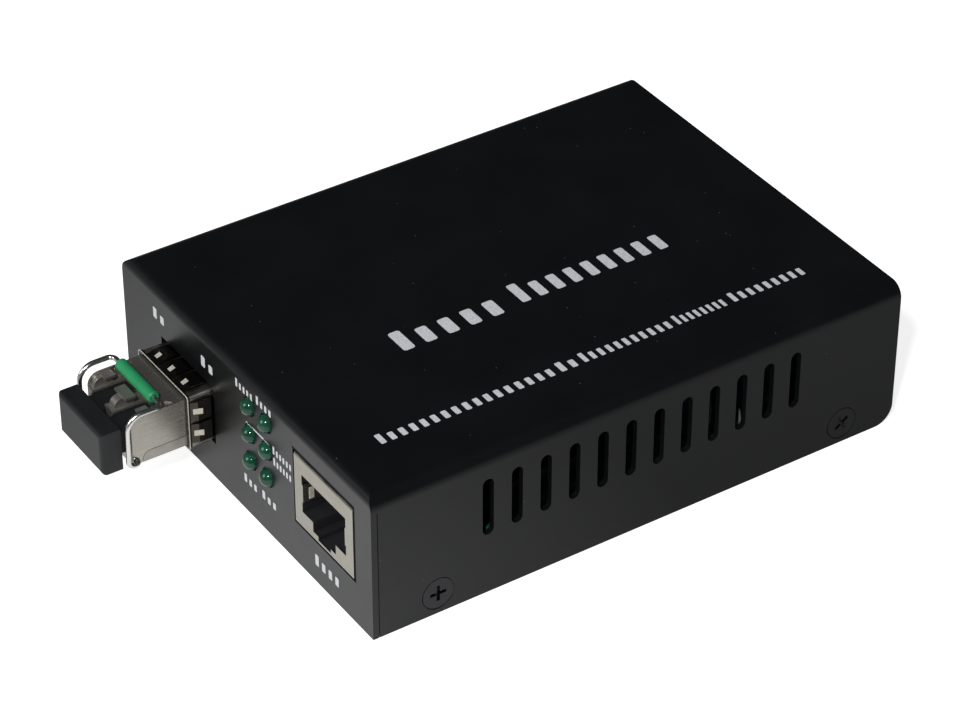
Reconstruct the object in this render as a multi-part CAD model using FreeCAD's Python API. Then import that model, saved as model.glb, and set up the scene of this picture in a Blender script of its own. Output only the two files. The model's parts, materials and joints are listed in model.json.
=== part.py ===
"""Fibre media converter: a folded steel case with one circuit board inside. The front carries a pluggable
optical module in a sprung cage, six lamps and a shielded modular jack; the back carries a power inlet.

Frame: origin at the centre of the case's underside, +Z up, front panel facing -Y. Lengths are millimetres.
A distance called "out" is measured from the front panel's outer face towards the viewer, so out(d) is its Y.
"""
import FreeCAD, Part
import math
import os
from FreeCAD import Vector

# ---- case ----
CASE_W = 71.0             # overall width
CASE_L = 93.5             # overall length
CASE_H = 25.4             # overall height
SHEET = 1.0               # steel sheet of both halves of the case
SIDE_BEND_R = 2.3         # outside radius, top to side
FRONT_BEND_R = 1.5        # outside radius, top to front
TRAY_BEND_R = 1.5         # outside radius of the tray's bends
INNER_BEND_MIN = 0.3      # smallest inside radius of any bend
HALVES_GAP = 0.1          # cover to tray
COVER_LIFT = 0.2          # the cover's edges stop this far above the underside
SEAM = 0.12               # open seam between the front flange and each side
SEAM_STOP = 2.6           # the seam ends this far below the top
REAR_CORNER_R = 3.2       # lower rear corner of each side
TRAY_FLANGE_H = 8.6       # height of the tray's side flanges

# ---- vents ----
VENT_COUNT = 12
VENT_PITCH = 4.955
VENT_W = 1.9
VENT_H = 10.05
VENT_Z = 15.82            # middle of a slot
VENT_END_FLATS = 6        # flats that make a slot's round end

# ---- case screws ----
SCREW_FRONT = 11.0        # front pair, from the front
SCREW_REAR = 9.85         # rear pair, from the back
SCREW_Z = 3.76
SCREW_R = 1.45            # shank
SCREW_HEAD_R = 2.6
SCREW_LEN = 5.0
SCREW_SINK = 0.05         # head below the cover's face
SCREW_CLEAR = 0.18        # head to its countersink
THREAD_CLEAR = 0.05       # shank to its threaded hole
CROSS_L = 2.7
CROSS_W = 0.55
CROSS_DEPTH = 0.55

# ---- circuit board and what holds it ----
BOARD_TOP = 7.4
BOARD_T = 1.6
BOARD_GAP = 0.4           # board edge to the tray's flanges and to the front panel
BOARD_REAR = 3.2          # board edge to the back of the case
STANDOFF_R = 2.8
STANDOFF_BORE_R = 1.5
HEX_HEAD_R = 2.7
HEX_HEAD_H = 1.6
HEX_SCREW_LEN = 5.0
# x as a share of the case's width, then distance from the front
MOUNT_PLACES = [(-0.4127, 6.6), (0.4127, 21.4), (-0.3845, 86.2), (0.3845, 86.2)]

# ---- optical module ----
MODULE_IN = 19.25         # middle of the module and of its bay, in from the case's side
MODULE_W = 13.4
MODULE_H = 8.4
MODULE_OUT = 13.45        # nose, out from the panel
MODULE_SHELL_L = 49.0     # nose to the rear of the metal shell
MODULE_SKIN = 0.3         # sheet of the module's cover
SKIN_SEAM = 0.1           # cover edge to the cast body's ledge
LEDGE_H = 1.75            # height of the cast body's bare ledge
LEDGE_OUT = 11.7          # the ledge starts here, behind the cover's front ears
LEDGE_ROUND_R = 1.5
PORT_PITCH = 6.25
PORT_SIZE = 4.6
PORT_FLOOR = 1.45         # module underside to the ports' floor
PORT_BORE_L = 7.1         # hole behind each port for its guide sleeve
NOSE_OUT = 7.0            # back of the ports
WINDOW_W = 3.85           # latch window over each port
NOSE_TOP = 6.45           # top of the nose round the windows, above the underside
LUG_FROM = 9.65           # rear edge of the lugs between the latch windows
LUG_LEN = 1.75
LUG_W = 3.5
LUG_T = 0.4
LUG_DROP = 0.1            # lugs below the module's top
RAMP_W = 1.5              # rounded ramp under and in front of each lug
RAMP_OUT = 12.85
RAMP_R = 1.35
EAR_ROUND_R = 2.0         # rounded top front corner of the cover's ears
COVER_TOP_OUT = 7.2       # front edge of the cover's top
COVER_NOTCH = 1.5         # corner notches of that edge
PRESS_DEPTH = 0.1         # pressed panel in the cover's top
PRESS_OUT = (6.5, 4.7)    # its front and rear, out from the panel
PRESS_HALF = (2.2, 3.3)   # half of its width at front and rear
BULKHEAD_BACK = 0.2       # rear of the solid bulkhead, out from the panel
TUB_WALL = 0.45
TUB_FLOOR = 0.9
OPTIC_R = 2.7
OPTIC_L = 9.0
OPTIC_NECK_R = 2.02
OPTIC_NECK_L = 2.2
OPTIC_LEAD_W = 0.4
OPTIC_LEAD_L = 3.2
OPTIC_LEAD_T = 0.25
CLAMP_FRONT = 1.1         # clamp behind the bulkhead
CLAMP_T = 1.0
SLEEVE_R = 1.45           # guide sleeve in each port
SLEEVE_TIP = 9.6          # out from the panel
FIBRE_R = 0.63
FIBRE_BORE_L = 5.5
EDGE_BOARD_T = 1.0
EDGE_BOARD_Z = 3.05       # underside of the module to underside of its board
EDGE_BOARD_W = 9.2        # the tongue that plugs in
EDGE_BOARD_TAIL = 6.9     # how far it stands out of the shell
EDGE_BOARD_R = 0.6

# ---- latch under the module ----
ROCKER_W = 3.6
ROCKER_T = 0.6
ROCKER_SIDE = 0.25        # rocker to each side of its recess
ROCKER_RISE = 0.05        # rocker above the module's underside
ROCKER_FRONT = 11.6       # out from the panel
ROCKER_BACK = 0.7
ROCKER_PIVOT = 6.2
ROCKER_PIN_R = 0.3
ROCKER_HUB_R = 0.5
RECESS_H = 1.2
BOSS_DROP = 0.2           # latch boss below the module's underside
BOSS_L = 1.8

# ---- bail ----
WIRE_R = 0.42
BAIL_PIVOT = (12.75, 0.7)      # out from the panel, height above the module's underside
BAIL_ARM_OUT = 14.2            # arms at the top, out from the panel
BAIL_TOE_OUT = 14.45           # arms at the bottom
BAIL_TOE_Z = 0.4
BAIL_TOE_R = 1.0               # bends of the wire, pin to arm and arm to bar
BAIL_KNEE_R = 2.6
BAIL_BAR_R = 1.1
BAIL_BAR_OUT = 8.45            # crossbar, out from the panel
BAIL_BAR_Z = 9.5               # crossbar above the module's underside
BAIL_SIDE = 0.3                # arm to module side
BAIL_PIN_L = 1.15              # pins into the module's sides
PIN_CLEAR = 0.05
GRIP_R = 0.98
GRIP_L = 10.2
GRIP_CLEAR = 0.02
GRIP_BEVEL = 0.2

# ---- dust plug ----
PLUG_W = 13.3
PLUG_H = 7.3
PLUG_Z = 0.1              # above the module's underside
PLUG_BACK = 15.0          # out from the panel
PLUG_D = 3.4
PLUG_ROUND = 0.7
PRONG_CLEAR = 0.3
PRONG_REAR = 7.6
PRONG_DEEPER = 0.6        # the prongs' bores go on past the guide sleeves

# ---- cage ----
CAGE_T = 0.2
CAGE_CLEAR = 0.25         # module to cage
CAGE_OUT = 4.0            # front edge, out from the panel
COLLAR_T = 0.15
COLLAR_LIP = 0.2          # lip folded over the cage's front edge
COLLAR_RING = 0.5         # closed ring, with its lip
COLLAR_ROUND = 0.4
FINGER_BULGE = 0.4
FINGER_REAR = -0.6        # finger tips, out from the panel
FINGER_W = 3.4
FINGER_GAP = 0.55
BUMP_W = 1.1              # pressed contact bump on a finger
BUMP_OUT = (3.5, 1.9)     # its low and its high end, out from the panel
BUMP_H = 0.25             # its high end above the finger
CUT_SIDE = 0.63           # panel cut-out to cage, each side
CUT_TOP = 0.7
CUT_BOTTOM = 0.54
TONGUE_W = 3.4
TONGUE_GAP = 0.35         # beside the latch tongue
TONGUE_BACK = -7.2
TONGUE_DROP = 0.15        # how far the sprung tongue lies below the cage's floor
TONGUE_KNEE = 4.0         # it bends down this far in front of its root
TONGUE_ROOT = 0.3
TONGUE_EYE = 1.05         # half of the triangular eye for the boss
CAGE_VENT_PITCH = 3.6     # between the three rows of holes in the cage's top
CAGE_PIN_W = 0.7
CAGE_PIN_L = 2.4
CAGE_PIN_EVERY = 9.0

# ---- host connector ----
HOST_W = 11.6
HOST_FRONT = 0.6          # module's shell to the connector
HOST_WALL = 1.2           # behind the card slot
HOST_CARD_CLEAR = 0.7     # end of the card to the bottom of the slot
HOST_BACK = 0.15          # connector to the cage's back wall
HOST_H = 6.2
HOST_SLOT_CLEAR = 0.3
HOST_WAYS = 10
HOST_PITCH = 0.8
CONTACT_ROOM = 0.55       # chamber for each row of contacts

# ---- modular jack ----
JACK_IN = 12.85           # middle of the jack, in from the case's side
JACK_W = 15.9
JACK_H = 12.8
JACK_D = 17.6
JACK_FOOT = 0.4
JACK_SKIN = 0.25
JACK_CUT_SIDE = 0.28      # cut-out to shield
JACK_CUT_TOP = 0.55
JACK_CUT_BOTTOM = 0.1
SOCKET_W = 11.9
SOCKET_ROOF = 2.9         # socket roof below the jack's top
SOCKET_Z = 3.1            # socket floor above the jack's underside
SOCKET_D = 12.8
SPRING_H = 3.2            # earthing spring at each side of the socket
SPRING_L = 3.6
SPRING_LEAN = 0.3
KEYWAY_W = 6.2
KEYWAY_H = 1.7
SLOT_W = 3.4
SLOT_H = 0.7
JACK_WAYS = 8
JACK_PITCH = 1.02
CONTACT_T = 0.35          # thickness and width of a contact
CONTACT_GROOVE = 1.6      # chamber over the socket for the contacts
CONTACT_FOLD = 2.3        # fold at the front, from the front
CONTACT_TIP = 10.6        # free end, from the front
CONTACT_DIP = 2.2         # free end below the socket's roof
CONTACT_FOOT = 2.4        # feet in front of the jack's back

# ---- lamps ----
LAMP_R = 1.45
LAMP_CONE = 0.55          # bevel round the lens
LAMP_TIP = 0.9            # lens out of the panel
LAMP_HOLE_R = 1.6
LAMP_COLUMNS = (0.031, 0.0986)            # as shares of the case's width
LAMP_ROWS = (0.4252, 0.62, 0.815)         # as shares of its height
LAMP_CLEAR = 0.05
HOLDER_D = 6.0
HOLDER_EDGE = 2.5         # holder round the lamps
LEAD_W = 0.5
LEAD_PITCH = 2.54
LEAD_STEP = 1.9           # each row's leads drop this much further back
LEAD_BELOW = 1.2          # leads under the board
HOLE_CLEAR = 0.12         # any lead to its hole in the board

# ---- power inlet ----
INLET_IN = 16.5           # middle of the inlet, in from the case's side
INLET_W = 9.0
INLET_H = 11.0
INLET_L = 14.2
INLET_MOUTH_Z = 6.5       # axis above the board
INLET_COLLAR_R = 4.0
INLET_HOLE_R = 4.2
INLET_BORE_R = 3.15
INLET_BORE_D = 9.8
INLET_PIN_R = 1.05
INLET_PIN_BACK = 0.6      # pin tip behind the mouth
INLET_STEM = 0.6          # half of the square stem behind the pin, in pin radii
INLET_TAB = (0.5, 2.4)    # thickness and width of a solder tab

# ---- parts on the board: x as a share of the case's width, distance from the front, then size ----
TRANSFORMER = (0.31, 33.0, 16.0, 13.0, 5.9)
CONVERTER_CHIP = (0.042, 48.0, 14.0, 14.0, 1.4)
PHY_CHIP = (0.007, 29.0, 9.0, 9.0, 1.0)
MEMORY_CHIP = (-0.268, 58.0, 5.0, 4.0, 1.5)
INDUCTOR = (0.19, 63.0, 7.4, 7.4, 4.0)
REGULATOR = (-0.085, 76.0, 6.6, 6.1, 2.3)
REGULATOR_TAB_L = 1.2
REGULATOR_TAB_T = 0.5
REGULATOR_LEG = 0.7
REGULATOR_LEG_L = 2.0
REGULATOR_LEG_PITCH = 2.3
DIODE = (-0.38, 74.0, 4.4, 2.6, 2.2)
CAPACITORS = [(0.366, 61.0, 4.0, 11.5), (0.352, 74.0, 4.0, 11.5)]   # x share, from the front, radius, height
CRYSTAL = (-0.113, 60.0, 11.0, 4.6, 3.4)
CRYSTAL_RIM = 0.4
CORE_RISE = 0.5           # the inductor's core above its frame
LEAD_PITCH_FINE = 1.27    # surface leads of the packages
WING_T = 0.18
WING_REACH = 1.0
MODULE_CHIP = (0.0, -22.0, 5.0, 5.0, 0.9)         # x from the module's middle, out from the panel
CHIP_PART = (1.6, 0.8, 0.6)
# rows of small parts: x and distance from the front as shares of the case, pitch in part widths, and whether
# the row runs towards the back; then how many each row holds
CHIP_ROWS = [(-0.056, 0.406, 2.75, False), (0.169, 0.471, 2.5, True), (-0.401, 0.321, 3.0, True),
             (0.056, 0.62, 2.75, False), (0.254, 0.856, 2.75, False), (0.43, 0.471, 2.5, True),
             (-0.028, 0.898, 3.0, False), (0.434, 0.706, 2.75, True)]
CHIP_ROW_COUNTS = [4, 5, 6, 5, 4, 5, 4, 4]


FRONT = -CASE_L / 2
BACK = CASE_L / 2
MODULE_X = MODULE_IN - CASE_W / 2
JACK_X = CASE_W / 2 - JACK_IN
INLET_X = INLET_IN - CASE_W / 2
LAMP_X = [share * CASE_W for share in LAMP_COLUMNS]
LAMP_Z = [share * CASE_H for share in LAMP_ROWS]
SOCKET_H = JACK_H - SOCKET_Z - SOCKET_ROOF
CAGE_L = (CAGE_OUT - MODULE_OUT + MODULE_SHELL_L + EDGE_BOARD_TAIL + HOST_CARD_CLEAR + HOST_WALL + HOST_BACK
          + CAGE_T)
MODULE_Z = BOARD_TOP + CAGE_T + CAGE_CLEAR
JACK_Z = BOARD_TOP + JACK_FOOT
BOARD_UNDER = BOARD_TOP - BOARD_T
TRAY_HALF = CASE_W / 2 - SHEET - HALVES_GAP
TRAY_TOP = CASE_H - SHEET - HALVES_GAP


def out(distance):
    """Y of a place this far out from the front panel's outer face."""
    return FRONT - distance


def box(x0, x1, y0, y1, z0, z1):
    """A block from two opposite corners, given in any order."""
    low = Vector(min(x0, x1), min(y0, y1), min(z0, z1))
    return Part.makeBox(abs(x1 - x0), abs(y1 - y0), abs(z1 - z0), low)


def rod(centre, axis, radius, length):
    return Part.makeCylinder(radius, length, Vector(*centre), Vector(*axis))


def cone(centre, axis, radius, end_radius, length):
    return Part.makeCone(radius, end_radius, length, Vector(*centre), Vector(*axis))


def outline(corners):
    """A closed wire through corners (point, radius), each corner rounded by an arc of its radius."""
    count = len(corners)
    edges = []
    starts = []
    ends = []
    middles = []
    for i, (point, radius) in enumerate(corners):
        before = (corners[i - 1][0] - point).normalize()
        after = (corners[(i + 1) % count][0] - point).normalize()
        half = before.getAngle(after) / 2
        reach = radius / math.tan(half)
        starts.append(point + before * reach)
        ends.append(point + after * reach)
        inward = (before + after).normalize()
        middles.append(point + inward * (radius / math.sin(half) - radius))
    for i, (point, radius) in enumerate(corners):
        if radius > 0:
            edges.append(Part.Arc(starts[i], middles[i], ends[i]).toShape())
        following = starts[(i + 1) % count]
        if (following - ends[i]).Length > 1e-6:
            edges.append(Part.LineSegment(ends[i], following).toShape())
    return Part.Wire(edges)


def across(corners, x0, x1):
    """A solid of constant section from x0 to x1; its corners are (y, z) or (y, z, radius)."""
    placed = [(Vector(x0, c[0], c[1]), c[2] if len(c) > 2 else 0) for c in corners]
    return Part.Face(outline(placed)).extrude(Vector(x1 - x0, 0, 0))


def along(corners, y0, y1):
    """A solid of constant section from y0 to y1; its corners are (x, z) or (x, z, radius)."""
    placed = [(Vector(c[0], y0, c[1]), c[2] if len(c) > 2 else 0) for c in corners]
    return Part.Face(outline(placed)).extrude(Vector(0, y1 - y0, 0))


def upright(corners, z0, z1):
    """A solid of constant section from z0 to z1; its corners are (x, y) or (x, y, radius)."""
    placed = [(Vector(c[0], c[1], z0), c[2] if len(c) > 2 else 0) for c in corners]
    return Part.Face(outline(placed)).extrude(Vector(0, 0, z1 - z0))


def rectangle(u0, u1, v0, v1, radius=0.0):
    return [(u0, v0, radius), (u1, v0, radius), (u1, v1, radius), (u0, v1, radius)]


def bent(corners):
    """A wire's path through corners (point, bend radius), each bend followed in two equal steps."""
    path = [corners[0][0]]
    for (before, _), (here, radius), (after, _) in zip(corners, corners[1:], corners[2:]):
        back = (before - here).normalize()
        onward = (after - here).normalize()
        half = back.getAngle(onward) / 2
        inward = (back + onward).normalize()
        path += [here + back * (radius / math.tan(half)), here + inward * (radius / math.sin(half) - radius),
                 here + onward * (radius / math.tan(half))]
    return path + [corners[-1][0]]


def hexagon(middle, radius, z0, z1):
    """An upright six-sided prism."""
    turns = [math.radians(60 * i) for i in range(6)]
    x, y = middle
    return upright([(x + radius * math.cos(a), y + radius * math.sin(a)) for a in turns], z0, z1)


def wire_rod(points, radius):
    """A round wire along straight runs that meet in mitres."""
    runs = []
    far = 20 * radius
    for i in range(len(points) - 1):
        start, end = points[i], points[i + 1]
        along_run = (end - start).normalize()
        before = 0 if i == 0 else 2 * radius
        after = 0 if i == len(points) - 2 else 2 * radius
        length = (end - start).Length + before + after
        run = Part.makeCylinder(radius, length, start - along_run * before, along_run)
        for corner, other, inward in ((start, i - 1, along_run), (end, i + 2, along_run * -1)):
            if 0 <= other < len(points):
                outward = (points[other] - corner).normalize()
                normal = (inward - outward).normalize()
                waste = Part.makeBox(2 * far, 2 * far, 2 * far, Vector(-far, -far, -2 * far))
                waste.Placement = FreeCAD.Placement(corner, FreeCAD.Rotation(Vector(0, 0, 1), normal))\
                    .multiply(waste.Placement)
                run = run.cut(waste)
        runs.append(run)
    return joined(runs)


def joined(shapes):
    """Overlapping or touching shapes as one solid."""
    whole = shapes[0].fuse(shapes[1:]) if len(shapes) > 1 else shapes[0]
    return whole.removeSplitter()


def drilled(shape, tools):
    return shape.cut(Part.makeCompound(tools)) if tools else shape


def screw_places():
    """Where the case screws go in: side (-1 or 1) and Y."""
    return [(side, y) for side in (-1, 1) for y in (FRONT + SCREW_FRONT, BACK - SCREW_REAR)]


def board_x(share):
    """X of a part on the board, from a share of the case's width."""
    return share * CASE_W


def mount_places():
    return [(board_x(share), FRONT + y) for share, y in MOUNT_PLACES]


# ---------------------------------------------------------------- case

def folded_shell(half_width, low, high, y0, y1, front_r, top_r, foot_r, closed):
    """The outside of a folded box, less its inside. closed is the side, front or back, that has a wall."""
    section = [(-half_width, low, top_r * (closed == "back")), (half_width, low, top_r * (closed == "back")),
               (half_width, high, top_r), (-half_width, high, top_r)]
    lengthwise = {"front": [(y0, low), (y1, low, foot_r), (y1, high), (y0, high, front_r)],
                  "back": [(y0, low), (y1, low, front_r), (y1, high), (y0, high)]}[closed]
    outside = along(section, y0, y1).common(across(lengthwise, -half_width, half_width))
    inner_r = max(top_r - SHEET, INNER_BEND_MIN)
    inner_front_r = max(front_r - SHEET, INNER_BEND_MIN)
    wide = half_width - SHEET
    far = CASE_L
    if closed == "front":
        hollow = along([(-wide, low - far), (wide, low - far), (wide, high - SHEET, inner_r),
                        (-wide, high - SHEET, inner_r)], y0 + SHEET, y1 + far)
        inside = [(y0 + SHEET, low - far), (y1 + far, low - far), (y1 + far, high - SHEET),
                  (y0 + SHEET, high - SHEET, inner_front_r)]
    else:
        hollow = along([(-wide, low + SHEET, inner_r), (wide, low + SHEET, inner_r), (wide, high + far),
                        (-wide, high + far)], y0 - far, y1 - SHEET)
        inside = [(y0 - far, low + SHEET), (y1 - SHEET, low + SHEET, inner_front_r), (y1 - SHEET, high + far),
                  (y0 - far, high + far)]
    return outside.cut(hollow.common(across(inside, -wide, wide)))


def bay_cut():
    """The panel cut-out round the sprung cage."""
    half, low, high = cage_outside()
    return box(MODULE_X - half - CUT_SIDE, MODULE_X + half + CUT_SIDE, out(1), out(-SHEET - 1),
               low - CUT_BOTTOM, high + CUT_TOP)


def jack_cut():
    half = JACK_W / 2 + JACK_CUT_SIDE
    return box(JACK_X - half, JACK_X + half, out(1), out(-SHEET - 1),
               JACK_Z - JACK_CUT_BOTTOM, JACK_Z + JACK_H + JACK_CUT_TOP)


def vent_slots():
    """Upright slots with round ends in short flats, cut through both sides of the cover at once."""
    slots = []
    radius = VENT_W / 2
    straight = VENT_H / 2 - radius
    turns = [math.pi * step / VENT_END_FLATS for step in range(VENT_END_FLATS + 1)]
    for i in range(VENT_COUNT):
        middle = (i - (VENT_COUNT - 1) / 2) * VENT_PITCH
        upper = [(middle + radius * math.cos(a), VENT_Z + straight + radius * math.sin(a)) for a in turns]
        lower = [(middle - radius * math.cos(a), VENT_Z - straight - radius * math.sin(a)) for a in turns]
        slots.append(across(upper + lower, -CASE_W, CASE_W))
    return slots


def top_cover():
    """Top, front and both sides, folded from one sheet; the front corners are open seams."""
    cover = folded_shell(CASE_W / 2, COVER_LIFT, CASE_H, FRONT, BACK, FRONT_BEND_R, SIDE_BEND_R,
                         REAR_CORNER_R, "front")
    cuts = vent_slots() + [bay_cut(), jack_cut()]
    for side in (-1, 1):
        cuts.append(box(side * (CASE_W / 2 - SHEET), side * CASE_W, FRONT + SHEET, FRONT + SHEET + SEAM,
                        -1, CASE_H - SEAM_STOP))
    for x in LAMP_X:
        for z in LAMP_Z:
            cuts.append(rod((x, out(1), z), (0, 1, 0), LAMP_HOLE_R, SHEET + 2))
    slope = (SCREW_HEAD_R - SCREW_R) / (SHEET - SCREW_SINK)
    wide = SCREW_HEAD_R + SCREW_CLEAR
    for side, y in screw_places():
        cuts.append(cone((side * CASE_W / 2, y, SCREW_Z), (-side, 0, 0), wide, wide - slope * SHEET, SHEET))
    return drilled(cover, cuts)


def base_tray():
    """Bottom, back and two low side flanges, folded from one sheet."""
    y0 = FRONT + SHEET + HALVES_GAP
    tray = folded_shell(TRAY_HALF, 0, TRAY_TOP, y0, BACK, TRAY_BEND_R, TRAY_BEND_R, 0, "back")
    cuts = [box(-CASE_W, CASE_W, y0 - 1, BACK - SHEET, TRAY_FLANGE_H, CASE_H)]
    for side, y in screw_places():
        cuts.append(rod((side * CASE_W / 2, y, SCREW_Z), (-side, 0, 0), SCREW_R + THREAD_CLEAR, SHEET * 4))
    cuts.append(rod((INLET_X, BACK - SHEET - 1, inlet_axis_z()), (0, 1, 0), INLET_HOLE_R, SHEET + 2))
    return drilled(tray, cuts)


def cross_recess(depth, length, width):
    """A cross-shaped recess, its mouth at the origin facing +Z."""
    bar = box(-length / 2, length / 2, -width / 2, width / 2, -depth, 1)
    other = box(-width / 2, width / 2, -length / 2, length / 2, -depth, 1)
    return bar.fuse(other)


def cover_screws():
    """Four countersunk screws, drawn without their threads."""
    screws = []
    head_h = SHEET - SCREW_SINK
    for turn, (side, y) in enumerate(screw_places()):
        head = cone((0, 0, 0), (0, 0, -1), SCREW_HEAD_R, SCREW_R, head_h)
        shank = rod((0, 0, -head_h), (0, 0, -1), SCREW_R, SCREW_LEN - head_h)
        recess = cross_recess(CROSS_DEPTH, CROSS_L, CROSS_W)
        recess.rotate(Vector(0, 0, 0), Vector(0, 0, 1), 20 + 35 * turn)
        screw = head.fuse(shank).cut(recess)
        screw.rotate(Vector(0, 0, 0), Vector(0, 1, 0), side * 90)
        screw.translate(Vector(side * (CASE_W / 2 - SCREW_SINK), y, SCREW_Z))
        screws.append(screw)
    return Part.makeCompound(screws)


def pcb_standoffs():
    """Six-sided threaded pillars welded to the tray's floor."""
    pillars = []
    for x, y in mount_places():
        pillar = hexagon((x, y), STANDOFF_R, SHEET, BOARD_UNDER)
        bore = rod((x, y, SHEET), (0, 0, 1), STANDOFF_BORE_R, BOARD_UNDER)
        pillars.append(pillar.cut(bore))
    return Part.makeCompound(pillars)


def pcb_screws():
    """Six-sided head screws that hold the board down on its pillars."""
    screws = []
    for x, y in mount_places():
        head = hexagon((x, y), HEX_HEAD_R, BOARD_TOP, BOARD_TOP + HEX_HEAD_H)
        shank = rod((x, y, BOARD_TOP), (0, 0, -1), STANDOFF_BORE_R - THREAD_CLEAR, HEX_SCREW_LEN)
        screws.append(joined([head, shank]))
    return Part.makeCompound(screws)


# ---------------------------------------------------------------- circuit board

def lamp_leads_at():
    """Each lamp lead: x, lamp height, and the Y at which it turns down."""
    leads = []
    for row, z in enumerate(LAMP_Z):
        turn = holder_back() + LEAD_W * 1.5 + row * LEAD_STEP
        for x in LAMP_X:
            for side in (-1, 1):
                leads.append((x + side * LEAD_PITCH / 2, z, turn))
    return leads


def cage_pins_at():
    """Feet of the cage's side walls: x of the wall's middle and Y."""
    half, low, high = cage_outside()
    places = []
    y = out(TONGUE_BACK)
    while y < out(CAGE_OUT - CAGE_L) - CAGE_PIN_W:
        places += [(MODULE_X - half + CAGE_T / 2, y), (MODULE_X + half - CAGE_T / 2, y)]
        y += CAGE_PIN_EVERY
    return places


def shield_pins_at():
    half = JACK_W / 2 - JACK_SKIN / 2
    return [(JACK_X + side * half, FRONT + JACK_D * 0.5) for side in (-1, 1)]


def contact_pins_at():
    """Feet of the jack's contacts."""
    places = []
    for i in range(JACK_WAYS):
        x = JACK_X + (i - (JACK_WAYS - 1) / 2) * JACK_PITCH
        places.append((x, FRONT + JACK_D - CONTACT_FOOT))
    return places


def inlet_tabs_at():
    y1 = BACK - SHEET - HALVES_GAP
    return [(INLET_X, y1 - INLET_L + 1.5), (INLET_X, y1 - INLET_L * 0.5)]


def circuit_board():
    """The board, with a notch for the cage's latch tongue and a hole for every screw, foot and lead."""
    half = TRAY_HALF - SHEET - BOARD_GAP
    y0 = FRONT + SHEET + BOARD_GAP
    y1 = BACK - BOARD_REAR
    board = upright(rectangle(-half, half, y0, y1), BOARD_UNDER, BOARD_TOP)
    notch = TONGUE_W / 2 + TONGUE_GAP * 2
    cuts = [box(MODULE_X - notch, MODULE_X + notch, y0 - 1, out(TONGUE_BACK) + TONGUE_GAP, 0, CASE_H)]
    for x, y in mount_places():
        cuts.append(rod((x, y, 0), (0, 0, 1), STANDOFF_BORE_R + HOLE_CLEAR, CASE_H))
    squares = [(x, y, LEAD_W) for x, z, y in lamp_leads_at()]
    squares += [(x, y, CAGE_PIN_W) for x, y in cage_pins_at()]
    squares += [(x, y, CAGE_PIN_W) for x, y in shield_pins_at()]
    squares += [(x, y, CONTACT_T) for x, y in contact_pins_at()]
    squares += [(x, y, INLET_TAB[1]) for x, y in inlet_tabs_at()]
    for x, y, size in squares:
        reach = size / 2 + HOLE_CLEAR
        cuts.append(box(x - reach, x + reach, y - reach, y + reach, 0, CASE_H))
    return drilled(board, cuts)


def package(place):
    """A plain component body on the board: x share, distance from the front, width, length, height."""
    share, y, w, l, h = place
    x = board_x(share)
    y = FRONT + y
    return box(x - w / 2, x + w / 2, y - l / 2, y + l / 2, BOARD_TOP, BOARD_TOP + h)


def gull_wings(place, ways):
    """Bent leads down two sides of a flat package, as separate strips."""
    share, y, w, l, h = place
    x = board_x(share)
    y = FRONT + y
    pitch, thickness, reach = LEAD_PITCH_FINE, WING_T, WING_REACH
    strips = []
    for side in (-1, 1):
        for i in range(ways):
            middle = y + (i - (ways - 1) / 2) * pitch
            root = x + side * w / 2
            bend = root + side * reach * 0.5
            inner = bend - side * thickness
            tip = root + side * reach
            mid_z = BOARD_TOP + h * 0.5
            foot_z = BOARD_TOP + thickness
            corners = [(root, mid_z), (bend, mid_z), (bend, foot_z), (tip, foot_z), (tip, BOARD_TOP),
                       (inner, BOARD_TOP), (inner, mid_z - thickness), (root, mid_z - thickness)]
            strips.append(along(corners, middle - pitch * 0.22, middle + pitch * 0.22))
    return strips


def line_transformer():
    """Moulded line transformer with its surface leads."""
    return joined([package(TRANSFORMER)] + gull_wings(TRANSFORMER, 8))


def memory_chip():
    return joined([package(MEMORY_CHIP)] + gull_wings(MEMORY_CHIP, 3))


def regulator():
    """Power regulator: a moulded body with a wide metal tab on one side and three leads on the other."""
    share, y, w, l, h = REGULATOR
    x = board_x(share)
    y = FRONT + y
    body = package(REGULATOR)
    tab = box(x - w * 0.4, x + w * 0.4, y + l / 2, y + l / 2 + REGULATOR_TAB_L, BOARD_TOP,
              BOARD_TOP + REGULATOR_TAB_T)
    legs = [box(x + place - REGULATOR_LEG / 2, x + place + REGULATOR_LEG / 2, y - l / 2 - REGULATOR_LEG_L,
                y - l / 2, BOARD_TOP, BOARD_TOP + REGULATOR_TAB_T)
            for place in (-REGULATOR_LEG_PITCH, 0, REGULATOR_LEG_PITCH)]
    return joined([body, tab] + legs)


def capacitor(index):
    """Radial can capacitor."""
    share, y, radius, height = CAPACITORS[index]
    return rod((board_x(share), FRONT + y, BOARD_TOP), (0, 0, 1), radius, height)


def crystal():
    """Low metal can with round ends on a flanged foot."""
    share, y, w, l, h = CRYSTAL
    x = board_x(share)
    y = FRONT + y
    can = upright(rectangle(x - w / 2 + CRYSTAL_RIM, x + w / 2 - CRYSTAL_RIM, y - l / 2 + CRYSTAL_RIM,
                            y + l / 2 - CRYSTAL_RIM, l / 2 - CRYSTAL_RIM), BOARD_TOP, BOARD_TOP + h)
    foot = box(x - w / 2, x + w / 2, y - l / 2, y + l / 2, BOARD_TOP, BOARD_TOP + CRYSTAL_RIM)
    return joined([can, foot])


def inductor():
    """Square power inductor whose round core shows in the top."""
    share, y, w, l, h = INDUCTOR
    base = package((share, y, w, l, h - CORE_RISE))
    core = rod((board_x(share), FRONT + y, BOARD_TOP), (0, 0, 1), w * 0.38, h)
    return joined([base, core])


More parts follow.
